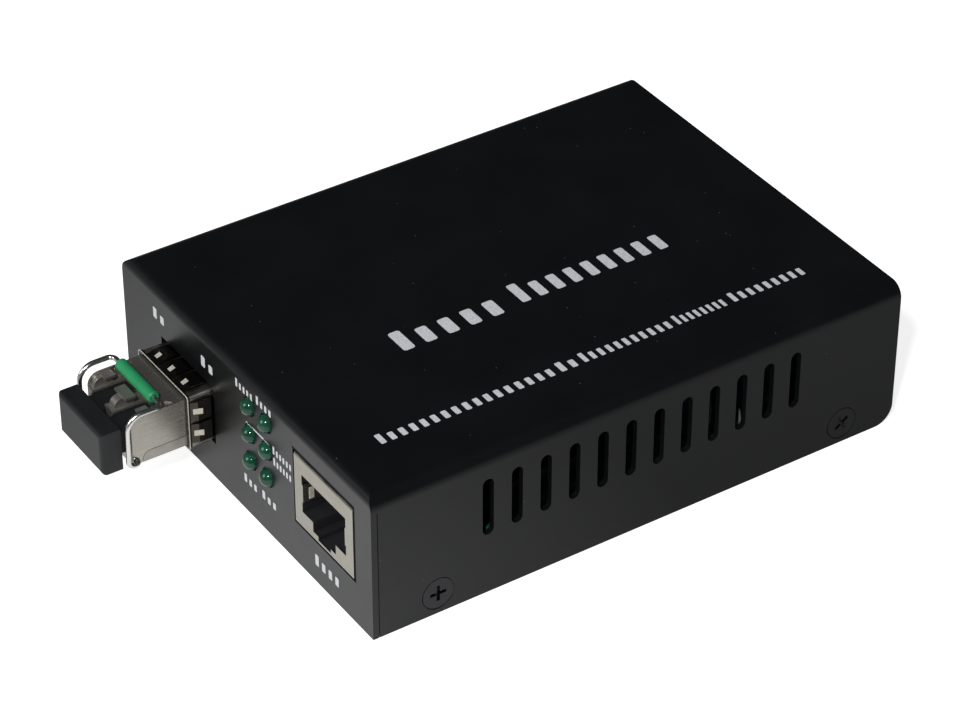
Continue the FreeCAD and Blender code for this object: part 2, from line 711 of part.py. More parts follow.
def small_parts():
    """Rows of small surface parts, as separate blocks."""
    l, w, h = CHIP_PART
    parts = []
    for (share, along_case, pitch, upward), count in zip(CHIP_ROWS, CHIP_ROW_COUNTS):
        for i in range(count):
            x = board_x(share) + (0 if upward else i * pitch * w)
            y = FRONT + along_case * CASE_L + (i * pitch * w if upward else 0)
            half_x, half_y = (l / 2, w / 2) if upward else (w / 2, l / 2)
            parts.append(box(x - half_x, x + half_x, y - half_y, y + half_y, BOARD_TOP, BOARD_TOP + h))
    return Part.makeCompound(parts)


# ---------------------------------------------------------------- lamps

def lamp(x, z):
    """A lamp on its axis along Y: coned lens in front, flat behind."""
    tip = out(LAMP_TIP)
    lens = cone((x, tip + LAMP_CONE, z), (0, -1, 0), LAMP_R, LAMP_R - LAMP_CONE, LAMP_CONE)
    body = rod((x, tip + LAMP_CONE, z), (0, 1, 0), LAMP_R, holder_back() - tip - LAMP_CONE)
    return joined([lens, body])


def holder_back():
    return FRONT + SHEET + BOARD_GAP + HOLDER_D


def lamp_holder():
    """The block behind the panel that holds the lamps level, with a square channel for each."""
    y0 = FRONT + SHEET + BOARD_GAP
    holder = box(LAMP_X[0] - HOLDER_EDGE, LAMP_X[-1] + HOLDER_EDGE, y0, holder_back(), BOARD_TOP,
                 LAMP_Z[-1] + HOLDER_EDGE)
    reach = LAMP_R + LAMP_CLEAR
    channels = [box(x - reach, x + reach, y0 - 1, holder_back() + 1, z - reach, z + reach)
                for x in LAMP_X for z in LAMP_Z]
    return drilled(holder, channels)


def lamp_leads():
    """Square wires from each lamp, back and then down through the board."""
    leads = []
    start = holder_back()
    half = LEAD_W / 2
    for x, z, turn in lamp_leads_at():
        corners = [(start, z - half), (turn - half, z - half), (turn - half, BOARD_UNDER - LEAD_BELOW),
                   (turn + half, BOARD_UNDER - LEAD_BELOW), (turn + half, z + half), (start, z + half)]
        leads.append(across(corners, x - half, x + half))
    return Part.makeCompound(leads)


# ---------------------------------------------------------------- modular jack

def jack_socket(depth):
    """The stepped opening of the jack: the socket, the keyway under it and the slot for the latch's tip."""
    y0 = FRONT - 1
    y1 = FRONT + depth
    floor = JACK_Z + SOCKET_Z
    socket = box(JACK_X - SOCKET_W / 2, JACK_X + SOCKET_W / 2, y0, y1, floor, floor + SOCKET_H)
    keyway = box(JACK_X - KEYWAY_W / 2, JACK_X + KEYWAY_W / 2, y0, y1, floor - KEYWAY_H, floor + 0.01)
    slot = box(JACK_X - SLOT_W / 2, JACK_X + SLOT_W / 2, y0, y1, floor - KEYWAY_H - SLOT_H, floor)
    return socket.fuse([keyway, slot])


def rj45_shield():
    """Folded shield: front with the stepped opening, top, sides, back, two feet, a spring at each side."""
    x0 = JACK_X - JACK_W / 2
    x1 = JACK_X + JACK_W / 2
    y1 = FRONT + JACK_D
    top = JACK_Z + JACK_H
    shell = across(rectangle(FRONT, y1, JACK_Z, top, 0.4), x0, x1)
    shell = shell.cut(box(x0 + JACK_SKIN, x1 - JACK_SKIN, FRONT + JACK_SKIN, y1 - JACK_SKIN, 0,
                          top - JACK_SKIN))
    shell = shell.cut(jack_socket(JACK_SKIN * 2))
    pieces = [shell]
    for side, (x, y) in zip((-1, 1), shield_pins_at()):
        pieces.append(box(x - JACK_SKIN / 2, x + JACK_SKIN / 2, y - CAGE_PIN_W / 2, y + CAGE_PIN_W / 2,
                          BOARD_UNDER - 0.8, JACK_Z + 1))
        edge = JACK_X + side * SOCKET_W / 2
        low = JACK_Z + SOCKET_Z + (SOCKET_H - SPRING_H) / 2
        inner = edge - side * JACK_SKIN
        tip_y = FRONT + SPRING_L
        corners = [(edge, FRONT), (inner, FRONT), (inner - side * SPRING_LEAN, tip_y),
                   (edge - side * SPRING_LEAN, tip_y)]
        pieces.append(upright(corners, low, low + SPRING_H))
        pieces.append(box(inner, edge + side * JACK_SKIN, FRONT, FRONT + JACK_SKIN, low, low + SPRING_H))
    return joined(pieces)


def rj45_housing():
    """Moulded insert inside the shield, with the socket and the chamber that the contacts run in."""
    gap = 0.03
    x0 = JACK_X - JACK_W / 2 + JACK_SKIN + gap
    x1 = JACK_X + JACK_W / 2 - JACK_SKIN - gap
    y0 = FRONT + JACK_SKIN + gap
    y1 = FRONT + JACK_D - JACK_SKIN - gap
    top = JACK_Z + JACK_H - JACK_SKIN - gap
    body = box(x0, x1, y0, y1, JACK_Z, top)
    roof = JACK_Z + SOCKET_Z + SOCKET_H
    reach = JACK_WAYS * JACK_PITCH / 2
    foot_y = contact_pins_at()[0][1]
    comb = box(JACK_X - reach, JACK_X + reach, FRONT + CONTACT_FOLD - CONTACT_T, foot_y + CONTACT_T,
               roof - 0.1, roof + CONTACT_GROOVE)
    drop = box(JACK_X - reach, JACK_X + reach, foot_y - CONTACT_T, foot_y + CONTACT_T, 0, roof + 0.1)
    body = body.cut(jack_socket(SOCKET_D)).cut(comb.fuse(drop))
    spring_z = roof - (SOCKET_H + SPRING_H) / 2
    springs = [box(JACK_X + side * SOCKET_W / 2, JACK_X + side * (SOCKET_W / 2 + 0.2), y0 - 1, y0 + 1,
                   spring_z - 0.2, spring_z + SPRING_H + 0.2) for side in (-1, 1)]
    body = drilled(body, springs)
    foot_x = JACK_W * 0.36
    feet = [box(JACK_X + side * foot_x - 1, JACK_X + side * foot_x + 1, FRONT + JACK_D * 0.4,
                FRONT + JACK_D * 0.5, BOARD_TOP, JACK_Z + 0.1) for side in (-1, 1)]
    return joined([body] + feet)


def rj45_contacts():
    """Eight sprung wires: each rises from the board, runs forward over the socket and doubles back."""
    wires = []
    roof = JACK_Z + SOCKET_Z + SOCKET_H
    high = roof + CONTACT_GROOVE / 2 + CONTACT_T
    fold = FRONT + CONTACT_FOLD
    t = CONTACT_T
    for x, y in contact_pins_at():
        corners = [(y - t / 2, BOARD_UNDER - LEAD_BELOW), (y + t / 2, BOARD_UNDER - LEAD_BELOW),
                   (y + t / 2, high + t), (fold + t, high + t), (fold, high), (fold, high - 2 * t),
                   (FRONT + CONTACT_TIP, roof - CONTACT_DIP), (FRONT + CONTACT_TIP, roof - CONTACT_DIP + t),
                   (fold + t, high - t), (fold + 2 * t, high), (y - t / 2, high)]
        wires.append(across(corners, x - t / 2, x + t / 2))
    return Part.makeCompound(wires)


# ---------------------------------------------------------------- power inlet

def inlet_axis_z():
    return BOARD_TOP + INLET_MOUTH_Z


def dc_jack_body():
    """Moulded inlet: a block with a round collar through the back panel and a deep round mouth."""
    y1 = BACK - SHEET - HALVES_GAP
    z = inlet_axis_z()
    high, low = BOARD_TOP + INLET_H, BOARD_TOP + INLET_H * 0.8
    block = across([(y1 - INLET_L, BOARD_TOP), (y1, BOARD_TOP), (y1, high), (y1 - INLET_L * 0.35, high),
                    (y1 - INLET_L * 0.5, low), (y1 - INLET_L, low)], INLET_X - INLET_W / 2,
                   INLET_X + INLET_W / 2)
    collar = rod((INLET_X, y1 - 0.5, z), (0, 1, 0), INLET_COLLAR_R, BACK - y1 + 0.5)
    mouth = rod((INLET_X, BACK + 1, z), (0, -1, 0), INLET_BORE_R, INLET_BORE_D + 1)
    root = INLET_PIN_R * INLET_STEM + 0.02
    stem = box(INLET_X - root, INLET_X + root, y1 - INLET_L - 1, BACK - INLET_BORE_D + 1, z - root, z + root)
    slot_y = y1 - INLET_L * 0.5
    slot = box(INLET_X - 1.3, INLET_X + 1.3, slot_y - 1.3, slot_y + 1.3, 0, z - INLET_BORE_R + 1)
    tail = box(INLET_X - 1.3, INLET_X + 1.3, y1 - INLET_L - 1, y1 - INLET_L + 1.9, 0, z + INLET_PIN_R)
    return joined([block, collar]).cut(Part.makeCompound([mouth, stem])).cut(slot.fuse(tail))


def dc_jack_pin():
    """The centre pin, with its stem through the back of the mouth and its solder tab."""
    y1 = BACK - SHEET - HALVES_GAP
    z = inlet_axis_z()
    floor = BACK - INLET_BORE_D
    tip = BACK - INLET_PIN_BACK
    pin = rod((INLET_X, floor, z), (0, 1, 0), INLET_PIN_R, tip - floor)
    rim = [edge for edge in pin.Edges if edge.BoundBox.YMin > (floor + tip) / 2 and len(edge.Vertexes) == 1]
    pin = pin.makeChamfer(INLET_PIN_R * 0.4, rim)
    tail_y = inlet_tabs_at()[0][1]
    root = INLET_PIN_R * INLET_STEM
    stem = box(INLET_X - root, INLET_X + root, tail_y - INLET_TAB[0], floor + 0.1, z - root, z + root)
    tab = box(INLET_X - INLET_TAB[1] / 2, INLET_X + INLET_TAB[1] / 2, tail_y - INLET_TAB[0] / 2,
              tail_y + INLET_TAB[0] / 2, BOARD_UNDER - LEAD_BELOW, z + root)
    return joined([pin, stem, tab])


def dc_jack_spring():
    """The sleeve contact: a tab through the board whose sprung leaf lies along the floor of the mouth."""
    y1 = BACK - SHEET - HALVES_GAP
    y = y1 - INLET_L * 0.5
    t = INLET_TAB[0] / 2
    floor = inlet_axis_z() - INLET_BORE_R
    corners = [(y - t, BOARD_UNDER - LEAD_BELOW), (y + t, BOARD_UNDER - LEAD_BELOW), (y + t, floor + 0.35),
               (BACK - 2.0, floor + 0.5), (BACK - 2.0, floor + 0.8), (y - t, floor + 0.65)]
    return across(corners, INLET_X - 0.8, INLET_X + 0.8)


# ---------------------------------------------------------------- cage and host connector

def cage_inside():
    """Half-width, low and high of the space in the cage."""
    return MODULE_W / 2 + CAGE_CLEAR, MODULE_Z - CAGE_CLEAR, MODULE_Z + MODULE_H + CAGE_CLEAR


def cage_outside():
    half, low, high = cage_inside()
    return half + CAGE_T, low - CAGE_T, high + CAGE_T


def sfp_cage():
    """Folded cage round the module's bay: feet through the board, vent holes, and a sprung latch tongue."""
    half, low, high = cage_outside()
    in_half, in_low, in_high = cage_inside()
    y0 = out(CAGE_OUT)
    y1 = out(CAGE_OUT - CAGE_L)
    tube = along(rectangle(MODULE_X - half, MODULE_X + half, low, high, 0.3), y0, y1)
    bore = box(MODULE_X - in_half, MODULE_X + in_half, y0 - 1, y1 - CAGE_T, in_low, in_high)
    rear = out(MODULE_OUT - MODULE_SHELL_L) - 1.0
    host_bay = box(MODULE_X - in_half + 0.2, MODULE_X + in_half - 0.2, rear, y1 - CAGE_T, 0, in_low + 0.1)
    slot = TONGUE_W / 2 + TONGUE_GAP
    mouth = box(MODULE_X - slot, MODULE_X + slot, y0 - 1, out(TONGUE_BACK), 0, in_low + 0.1)
    cage = tube.cut(bore.fuse([host_bay, mouth]))
    vents = []
    for i in range(4):
        for x in (-CAGE_VENT_PITCH, 0.0, CAGE_VENT_PITCH):
            vents.append(hexagon((MODULE_X + x, out(-8 - 6 * i)), 1.0, high - 1, high + 1))
    cage = drilled(cage, vents)
    drop = TONGUE_DROP
    tongue_y = out(TONGUE_BACK)
    root_y, knee_y, tip_y = tongue_y + TONGUE_ROOT, tongue_y - TONGUE_KNEE, y0 + TONGUE_ROOT
    tongue = across([(root_y, low), (tongue_y, low), (knee_y, low - drop), (tip_y, low - drop),
                     (tip_y, low - drop + CAGE_T), (knee_y, low - drop + CAGE_T), (tongue_y, low + CAGE_T),
                     (root_y, low + CAGE_T)], MODULE_X - TONGUE_W / 2, MODULE_X + TONGUE_W / 2)
    eye_y = out(ROCKER_BACK + BOSS_L / 2)
    eye = upright([(MODULE_X, eye_y - TONGUE_EYE), (MODULE_X + TONGUE_EYE, eye_y + TONGUE_EYE),
                   (MODULE_X - TONGUE_EYE, eye_y + TONGUE_EYE)], 0, in_low)
    feet = [box(x - CAGE_T / 2, x + CAGE_T / 2, y - CAGE_PIN_W / 2, y + CAGE_PIN_W / 2, low - CAGE_PIN_L,
                low + CAGE_PIN_W) for x, y in cage_pins_at()]
    return joined([cage, tongue.cut(eye)] + feet)


def finger(origin, up, across_row):
    """One finger on the cage's wall: a low arch from the ring to the panel, with a contact bump in it."""
    front = CAGE_OUT - COLLAR_RING + COLLAR_LIP
    crown = (front - FINGER_REAR) * 0.25
    lift = 0.01
    high = FINGER_BULGE + COLLAR_T
    arch = [(front, COLLAR_T), (front - crown, high), (FINGER_REAR + crown, high), (FINGER_REAR, COLLAR_T),
            (FINGER_REAR, lift), (FINGER_REAR + crown, FINGER_BULGE), (front - crown, FINGER_BULGE),
            (front, lift)]
    bump = [(BUMP_OUT[0], COLLAR_T), (BUMP_OUT[1], high + BUMP_H), (BUMP_OUT[1], FINGER_BULGE)]
    pieces = []
    for profile, width in ((arch, FINGER_W), (bump, BUMP_W)):
        start = origin - across_row * (width / 2)
        points = [start + Vector(0, -distance, 0) + up * rise for distance, rise in profile]
        pieces.append(Part.Face(Part.makePolygon(points + [points[0]])).extrude(across_row * width))
    return pieces


def finger_row(middle, up, across_row, places):
    """Fingers on one wall of the cage, at places counted in fingers from its middle."""
    pieces = []
    for place in places:
        pieces += finger(middle + across_row * (place * (FINGER_W + FINGER_GAP)), up, across_row)
    return pieces


def cage_spring_collar():
    """Sprung earthing collar: a lip over the cage's front edge, a short ring, and fingers to the panel."""
    half, low, high = cage_outside()
    in_half, in_low, in_high = cage_inside()
    around = rectangle(MODULE_X - half - COLLAR_T, MODULE_X + half + COLLAR_T, low - COLLAR_T,
                       high + COLLAR_T, COLLAR_ROUND)
    ring = along(around, out(CAGE_OUT + COLLAR_LIP), out(CAGE_OUT - COLLAR_RING + COLLAR_LIP))
    seat = box(MODULE_X - half, MODULE_X + half, out(CAGE_OUT), out(-CAGE_L), low, high)
    way = box(MODULE_X - in_half, MODULE_X + in_half, out(CAGE_OUT + 1), out(0), in_low, in_high)
    ring = ring.cut(seat.fuse(way))
    middle = (low + high) / 2
    rows = finger_row(Vector(MODULE_X, FRONT, high), Vector(0, 0, 1), Vector(1, 0, 0), (-1, 0, 1))
    rows += finger_row(Vector(MODULE_X, FRONT, low), Vector(0, 0, -1), Vector(1, 0, 0), (-1.2, 1.2))
    for side in (-1, 1):
        rows += finger_row(Vector(MODULE_X + side * half, FRONT, middle), Vector(side, 0, 0), Vector(0, 0, 1),
                           (-0.5, 0.5))
    slot = TONGUE_W / 2 + TONGUE_GAP * 2
    gate = box(MODULE_X - slot, MODULE_X + slot, out(CAGE_OUT + 1), out(-5), low - 2, in_low + 0.01)
    return joined([ring] + rows).cut(gate)


def host_place():
    """Y of the host connector's front and back, and the height of its slot's middle."""
    return (out(MODULE_OUT - MODULE_SHELL_L) + HOST_FRONT, out(CAGE_OUT - CAGE_L) - CAGE_T - HOST_BACK,
            MODULE_Z + EDGE_BOARD_Z + EDGE_BOARD_T / 2)


def host_connector():
    """Surface connector at the back of the cage, with a card slot facing the module."""
    y0, y1, z = host_place()
    block = box(MODULE_X - HOST_W / 2, MODULE_X + HOST_W / 2, y0, y1, BOARD_TOP, BOARD_TOP + HOST_H)
    half = EDGE_BOARD_W / 2 + HOST_SLOT_CLEAR
    tall = EDGE_BOARD_T / 2 + HOST_SLOT_CLEAR
    card = box(MODULE_X - half, MODULE_X + half, y0 - 1, y1 - HOST_WALL, z - tall, z + tall)
    reach = HOST_WAYS * HOST_PITCH / 2
    rows = [box(MODULE_X - reach, MODULE_X + reach, y0 + HOST_WALL, y1 - HOST_WALL,
                z + side * (tall - 0.1), z + side * (tall + CONTACT_ROOM)) for side in (-1, 1)]
    return block.cut(card.fuse(rows))


def host_contacts():
    """Two rows of sprung contacts over and under the card slot."""
    y0, y1, z = host_place()
    tall = EDGE_BOARD_T / 2 + HOST_SLOT_CLEAR
    root = y1 - HOST_WALL
    springs = []
    for side in (-1, 1):
        for i in range(HOST_WAYS):
            x = MODULE_X + (i - (HOST_WAYS - 1) / 2) * HOST_PITCH
            corners = [(root, z + side * (tall + 0.2)), (y0 + 2.6, z + side * (tall - 0.14)),
                       (y0 + 1.4, z + side * (tall + 0.15)), (y0 + 1.4, z + side * (tall + 0.3)),
                       (y0 + 2.6, z + side * (tall + 0.02)), (root, z + side * (tall + 0.36))]
            springs.append(across(corners, x - 0.15, x + 0.15))
    return Part.makeCompound(springs)


# ---------------------------------------------------------------- optical module

def port_middles():
    """X of the transmit and receive ports."""
    return [MODULE_X - PORT_PITCH / 2, MODULE_X + PORT_PITCH / 2]


def ledge_section(y_rear, bottom, grow):
    """Side view of the cast body's bare ledge; grow widens it by the seam to cut the cover's sides."""
    top = MODULE_Z + LEDGE_H + grow
    return [(out(LEDGE_OUT + grow), bottom), (y_rear, bottom), (y_rear, top),
            (out(LEDGE_OUT + grow), top, LEDGE_ROUND_R + grow)]


def module_lug(x, edge):
    """A lug over the nose, and its ramp; one at the nose's side is cut off at the edge."""
    top = MODULE_Z + MODULE_H - LUG_DROP
    ramp = [(out(LUG_FROM), MODULE_Z + NOSE_TOP - LUG_T), (out(RAMP_OUT), MODULE_Z + NOSE_TOP - LUG_T),
            (out(RAMP_OUT), top - LUG_T, RAMP_R), (out(LUG_FROM), top - LUG_T)]
    spans = []
    for half in (RAMP_W / 2, LUG_W / 2):
        low, high = x - half, x + half
        if edge < x:
            low = edge
        elif edge > x:
            high = edge
        spans.append((low, high))
    return [across(ramp, *spans[0]), box(*spans[1], out(LUG_FROM), out(LUG_FROM + LUG_LEN), top - LUG_T, top)]


def sfp_body():
    """Cast lower half: nose with two ports and their lugs, bulkhead, rear tub, latch recess below."""
    half = MODULE_W / 2
    core = half - MODULE_SKIN
    z0 = MODULE_Z
    rear = out(MODULE_OUT - MODULE_SHELL_L)
    top = z0 + MODULE_H - MODULE_SKIN
    bulk = box(MODULE_X - core, MODULE_X + core, out(NOSE_OUT), out(BULKHEAD_BACK), z0, top)
    nose = box(MODULE_X - core, MODULE_X + core, out(MODULE_OUT), out(NOSE_OUT), z0, z0 + NOSE_TOP)
    tub = box(MODULE_X - core, MODULE_X + core, out(BULKHEAD_BACK + 0.1), rear, z0, top)
    hollow = box(MODULE_X - core + TUB_WALL, MODULE_X + core - TUB_WALL, out(BULKHEAD_BACK), rear + 1,
                 z0 + TUB_FLOOR, z0 + MODULE_H)
    tub = tub.cut(hollow)
    ledge = across(ledge_section(rear, z0, 0), MODULE_X - half, MODULE_X + half)
    ledge = ledge.cut(hollow)
    pieces = [bulk, nose, tub, ledge] + module_lug(MODULE_X, MODULE_X)
    for side in (-1, 1):
        pieces += module_lug(MODULE_X + side * PORT_PITCH, MODULE_X + side * core)
    body = joined(pieces)
    cuts = []
    for x in port_middles():
        cuts.append(box(x - PORT_SIZE / 2, x + PORT_SIZE / 2, out(MODULE_OUT + 1), out(NOSE_OUT),
                        z0 + PORT_FLOOR, z0 + PORT_FLOOR + PORT_SIZE))
        cuts.append(box(x - WINDOW_W / 2, x + WINDOW_W / 2, out(MODULE_OUT + 1), out(NOSE_OUT),
                        z0 + PORT_FLOOR, z0 + NOSE_TOP + 1))
        cuts.append(rod((x, out(NOSE_OUT), port_axis_z()), (0, 1, 0), SLEEVE_R + PIN_CLEAR, PORT_BORE_L))
    recess = ROCKER_W / 2 + ROCKER_SIDE
    cuts.append(box(MODULE_X - recess, MODULE_X + recess, out(ROCKER_FRONT + ROCKER_SIDE),
                    out(ROCKER_BACK - ROCKER_SIDE), z0 - 1, z0 + RECESS_H))
    cuts.append(rod((MODULE_X - recess - 0.7, out(ROCKER_PIVOT), rocker_axis_z()), (1, 0, 0),
                    ROCKER_PIN_R, 2 * recess + 1.4))
    pivot_y, pivot_z = bail_pivot()
    for side in (-1, 1):
        cuts.append(rod((MODULE_X + side * (half + 1), pivot_y, pivot_z), (-side, 0, 0), WIRE_R + PIN_CLEAR,
                        1 + BAIL_PIN_L + PIN_CLEAR * 2))
    return drilled(body, cuts)


def port_axis_z():
    return MODULE_Z + PORT_FLOOR + PORT_SIZE / 2


def sfp_cover():
    """Folded sheet over the module: top, two sides with rounded ears at the nose, ledge line below."""
    half = MODULE_W / 2
    z0 = MODULE_Z
    top = z0 + MODULE_H
    rear = out(MODULE_OUT - MODULE_SHELL_L)
    ears = out(MODULE_OUT - 0.1)
    side_view = [(ears, z0, 0.4), (rear, z0), (rear, top), (ears, top, EAR_ROUND_R)]
    skin = across(side_view, MODULE_X - half, MODULE_X + half)
    inside = half - MODULE_SKIN + 0.01
    skin = skin.cut(box(MODULE_X - inside, MODULE_X + inside, ears - 1, rear + 1, z0 - 1,
                        top - MODULE_SKIN + 0.01))
    skin = skin.cut(box(MODULE_X - inside, MODULE_X + inside, ears - 1, out(COVER_TOP_OUT), z0 - 1, top + 1))
    cuts = [across(ledge_section(rear + 1, z0 - 1, SKIN_SEAM), MODULE_X - CASE_W, MODULE_X + CASE_W)]
    press = [(MODULE_X + side * half_w, out(place)) for side, half_w, place in
             ((-1, PRESS_HALF[0], PRESS_OUT[0]), (1, PRESS_HALF[0], PRESS_OUT[0]),
              (1, PRESS_HALF[1], PRESS_OUT[1]), (-1, PRESS_HALF[1], PRESS_OUT[1]))]
    cuts.append(upright(press, top - PRESS_DEPTH, top + 1))
    for side in (-1, 1):
        notch_x = MODULE_X + side * (half - MODULE_SKIN)
        cuts.append(upright([(notch_x, out(COVER_TOP_OUT + 1)), (notch_x, out(COVER_TOP_OUT - COVER_NOTCH)),
                             (notch_x - side * COVER_NOTCH, out(COVER_TOP_OUT)),
                             (notch_x - side * COVER_NOTCH, out(COVER_TOP_OUT + 1))], top - 1, top + 1))
        pivot_y, pivot_z = bail_pivot()
        cuts.append(rod((MODULE_X + side * (half + 1), pivot_y, pivot_z), (-side, 0, 0),
                        WIRE_R + PIN_CLEAR * 2, 2))
    return drilled(skin, cuts)


def sfp_edge_board():
    """The module's own board; its bare tongue plugs into the host connector."""
    z = MODULE_Z + EDGE_BOARD_Z
    rear = out(MODULE_OUT - MODULE_SHELL_L)
    wide = MODULE_W / 2 - MODULE_SKIN - TUB_WALL
    front = out(BULKHEAD_BACK - OPTIC_L - 1.5)
    tongue = EDGE_BOARD_W / 2
    tail = rear + EDGE_BOARD_TAIL
    corners = [(-wide, front), (wide, front), (wide, rear - 1), (tongue, rear - 1),
               (tongue, tail, EDGE_BOARD_R), (-tongue, tail, EDGE_BOARD_R), (-tongue, rear - 1),
               (-wide, rear - 1)]
    corners = [(MODULE_X + c[0],) + c[1:] for c in corners]
    return upright(corners, z, z + EDGE_BOARD_T)


def optics(x, pins):
    """One optical sub-assembly: guide sleeve in the port, neck, can and its leads over the board."""
    z = port_axis_z()
    back = out(BULKHEAD_BACK)
    sleeve = rod((x, out(SLEEVE_TIP), z), (0, 1, 0), SLEEVE_R, back - out(SLEEVE_TIP) + 0.5)
    neck = rod((x, back, z), (0, 1, 0), OPTIC_NECK_R, OPTIC_NECK_L)
    can = rod((x, back + OPTIC_NECK_L, z), (0, 1, 0), OPTIC_R, OPTIC_L - OPTIC_NECK_L)
    board_top = MODULE_Z + EDGE_BOARD_Z + EDGE_BOARD_T
    leads = [box(x + p - OPTIC_LEAD_W / 2, x + p + OPTIC_LEAD_W / 2, back + OPTIC_L - 0.1,
                 back + OPTIC_L + OPTIC_LEAD_L, board_top, board_top + OPTIC_LEAD_T) for p in pins]
    bore = rod((x, out(SLEEVE_TIP + 1), z), (0, 1, 0), FIBRE_R, FIBRE_BORE_L)
    return joined([sleeve, neck, can] + leads).cut(bore)


def transmit_optics():
    return optics(port_middles()[0], (-1.2, 0.0, 1.2))


def receive_optics():
    return optics(port_middles()[1], (-1.5, -0.5, 0.5, 1.5))


def optics_clamp():
    """Bracket that drops between the two necks and holds them down in the tub."""
    back = out(BULKHEAD_BACK)
    z = port_axis_z()
    half = MODULE_W / 2 - MODULE_SKIN - TUB_WALL - 0.05
    plate = box(MODULE_X - half, MODULE_X + half, back + CLAMP_FRONT, back + CLAMP_FRONT + CLAMP_T,
                MODULE_Z + TUB_FLOOR, MODULE_Z + MODULE_H - MODULE_SKIN)
    reach = CLAMP_FRONT + 2 * CLAMP_T
    cuts = []
    for x in port_middles():
        radius = OPTIC_NECK_R + 0.03
        cuts.append(rod((x, back, z), (0, 1, 0), radius, reach))
        cuts.append(box(x - radius, x + radius, back, back + reach, MODULE_Z, z))
    return drilled(plate, cuts)


def module_chip():
    x, y, w, l, h = MODULE_CHIP
    x += MODULE_X
    z = MODULE_Z + EDGE_BOARD_Z + EDGE_BOARD_T
    return box(x - w / 2, x + w / 2, out(y) - l / 2, out(y) + l / 2, z, z + h)


# ---------------------------------------------------------------- latch, bail, plug

def rocker_axis_z():
    return MODULE_Z + ROCKER_RISE + ROCKER_HUB_R


def latch_rocker():
    """Lever in the module's floor: the boss at its back drops into the cage's tongue, the bail lifts it."""
    z0 = MODULE_Z + ROCKER_RISE
    plate = box(MODULE_X - ROCKER_W / 2, MODULE_X + ROCKER_W / 2, out(ROCKER_FRONT), out(ROCKER_BACK), z0,
                z0 + ROCKER_T)
    hub = rod((MODULE_X - ROCKER_W / 2, out(ROCKER_PIVOT), rocker_axis_z()), (1, 0, 0), ROCKER_HUB_R,
              ROCKER_W)
    boss_y = out(ROCKER_BACK)
    boss = upright([(MODULE_X, boss_y - BOSS_L, 0.2), (MODULE_X + BOSS_L / 2, boss_y),
                    (MODULE_X - BOSS_L / 2, boss_y)], MODULE_Z - BOSS_DROP, z0 + 0.1)
    eye = rod((MODULE_X - ROCKER_W, out(ROCKER_PIVOT), rocker_axis_z()), (1, 0, 0), ROCKER_PIN_R + 0.03,
              2 * ROCKER_W)
    return joined([plate, hub, boss]).cut(eye)


def rocker_pin():
    half = ROCKER_W / 2 + ROCKER_SIDE + 0.6
    return rod((MODULE_X - half, out(ROCKER_PIVOT), rocker_axis_z()), (1, 0, 0), ROCKER_PIN_R, 2 * half)


def bail_pivot():
    return out(BAIL_PIVOT[0]), MODULE_Z + BAIL_PIVOT[1]


def bail_arm_x():
    return MODULE_W / 2 + BAIL_SIDE + WIRE_R


def bail_wire():
    """One bent wire: a pin in each side of the nose, two arms up the front and a crossbar over the top."""
    pivot_y, pivot_z = bail_pivot()
    bar_z = MODULE_Z + BAIL_BAR_Z
    arm_x = bail_arm_x()
    pin_x = MODULE_W / 2 - BAIL_PIN_L
    one_side = [(pin_x, pivot_y, pivot_z, 0), (arm_x, pivot_y, pivot_z, WIRE_R),
                (arm_x, out(BAIL_TOE_OUT), MODULE_Z + BAIL_TOE_Z, BAIL_TOE_R),
                (arm_x, out(BAIL_ARM_OUT), bar_z, BAIL_KNEE_R), (arm_x, out(BAIL_BAR_OUT), bar_z, BAIL_BAR_R)]
    right = [(Vector(MODULE_X + x, y, z), radius) for x, y, z, radius in one_side]
    left = [(Vector(MODULE_X - x, y, z), radius) for x, y, z, radius in reversed(one_side)]
    return wire_rod(bent(right + left), WIRE_R)


def bail_sleeve():
    """Soft grip slipped on the crossbar."""
    centre = (MODULE_X - GRIP_L / 2, out(BAIL_BAR_OUT), MODULE_Z + BAIL_BAR_Z)
    grip = rod(centre, (1, 0, 0), GRIP_R, GRIP_L)
    grip = grip.makeChamfer(GRIP_BEVEL, [edge for edge in grip.Edges if len(edge.Vertexes) == 1])
    return grip.cut(rod((centre[0] - 1, centre[1], centre[2]), (1, 0, 0), WIRE_R + GRIP_CLEAR, GRIP_L + 2))


def dust_plug():
    """Blanking plug: a rounded block with two hollow prongs that fill the ports."""
    z0 = MODULE_Z + PLUG_Z
    half = PLUG_W / 2
    back, face, top = out(PLUG_BACK), out(PLUG_BACK + PLUG_D), z0 + PLUG_H
    block = upright([(MODULE_X - half, back), (MODULE_X + half, back), (MODULE_X + half, face, PLUG_ROUND),
                     (MODULE_X - half, face, PLUG_ROUND)], z0, top)
    rounded = across([(face, z0, PLUG_ROUND), (back, z0), (back, top), (face, top, PLUG_ROUND)],
                     MODULE_X - half, MODULE_X + half)
    pieces = [block.common(rounded)]
    bores = []
    side = PORT_SIZE / 2 - PRONG_CLEAR
    z = port_axis_z()
    for x in port_middles():
        pieces.append(along(rectangle(x - side, x + side, z - side, z + side), out(PLUG_BACK + 0.5),
                            out(PRONG_REAR)))
        bores.append(rod((x, out(PRONG_REAR - 1), z), (0, -1, 0), SLEEVE_R + PRONG_CLEAR,
                         SLEEVE_TIP - PRONG_REAR + 1 + PRONG_DEEPER))
    return drilled(joined(pieces), bores)


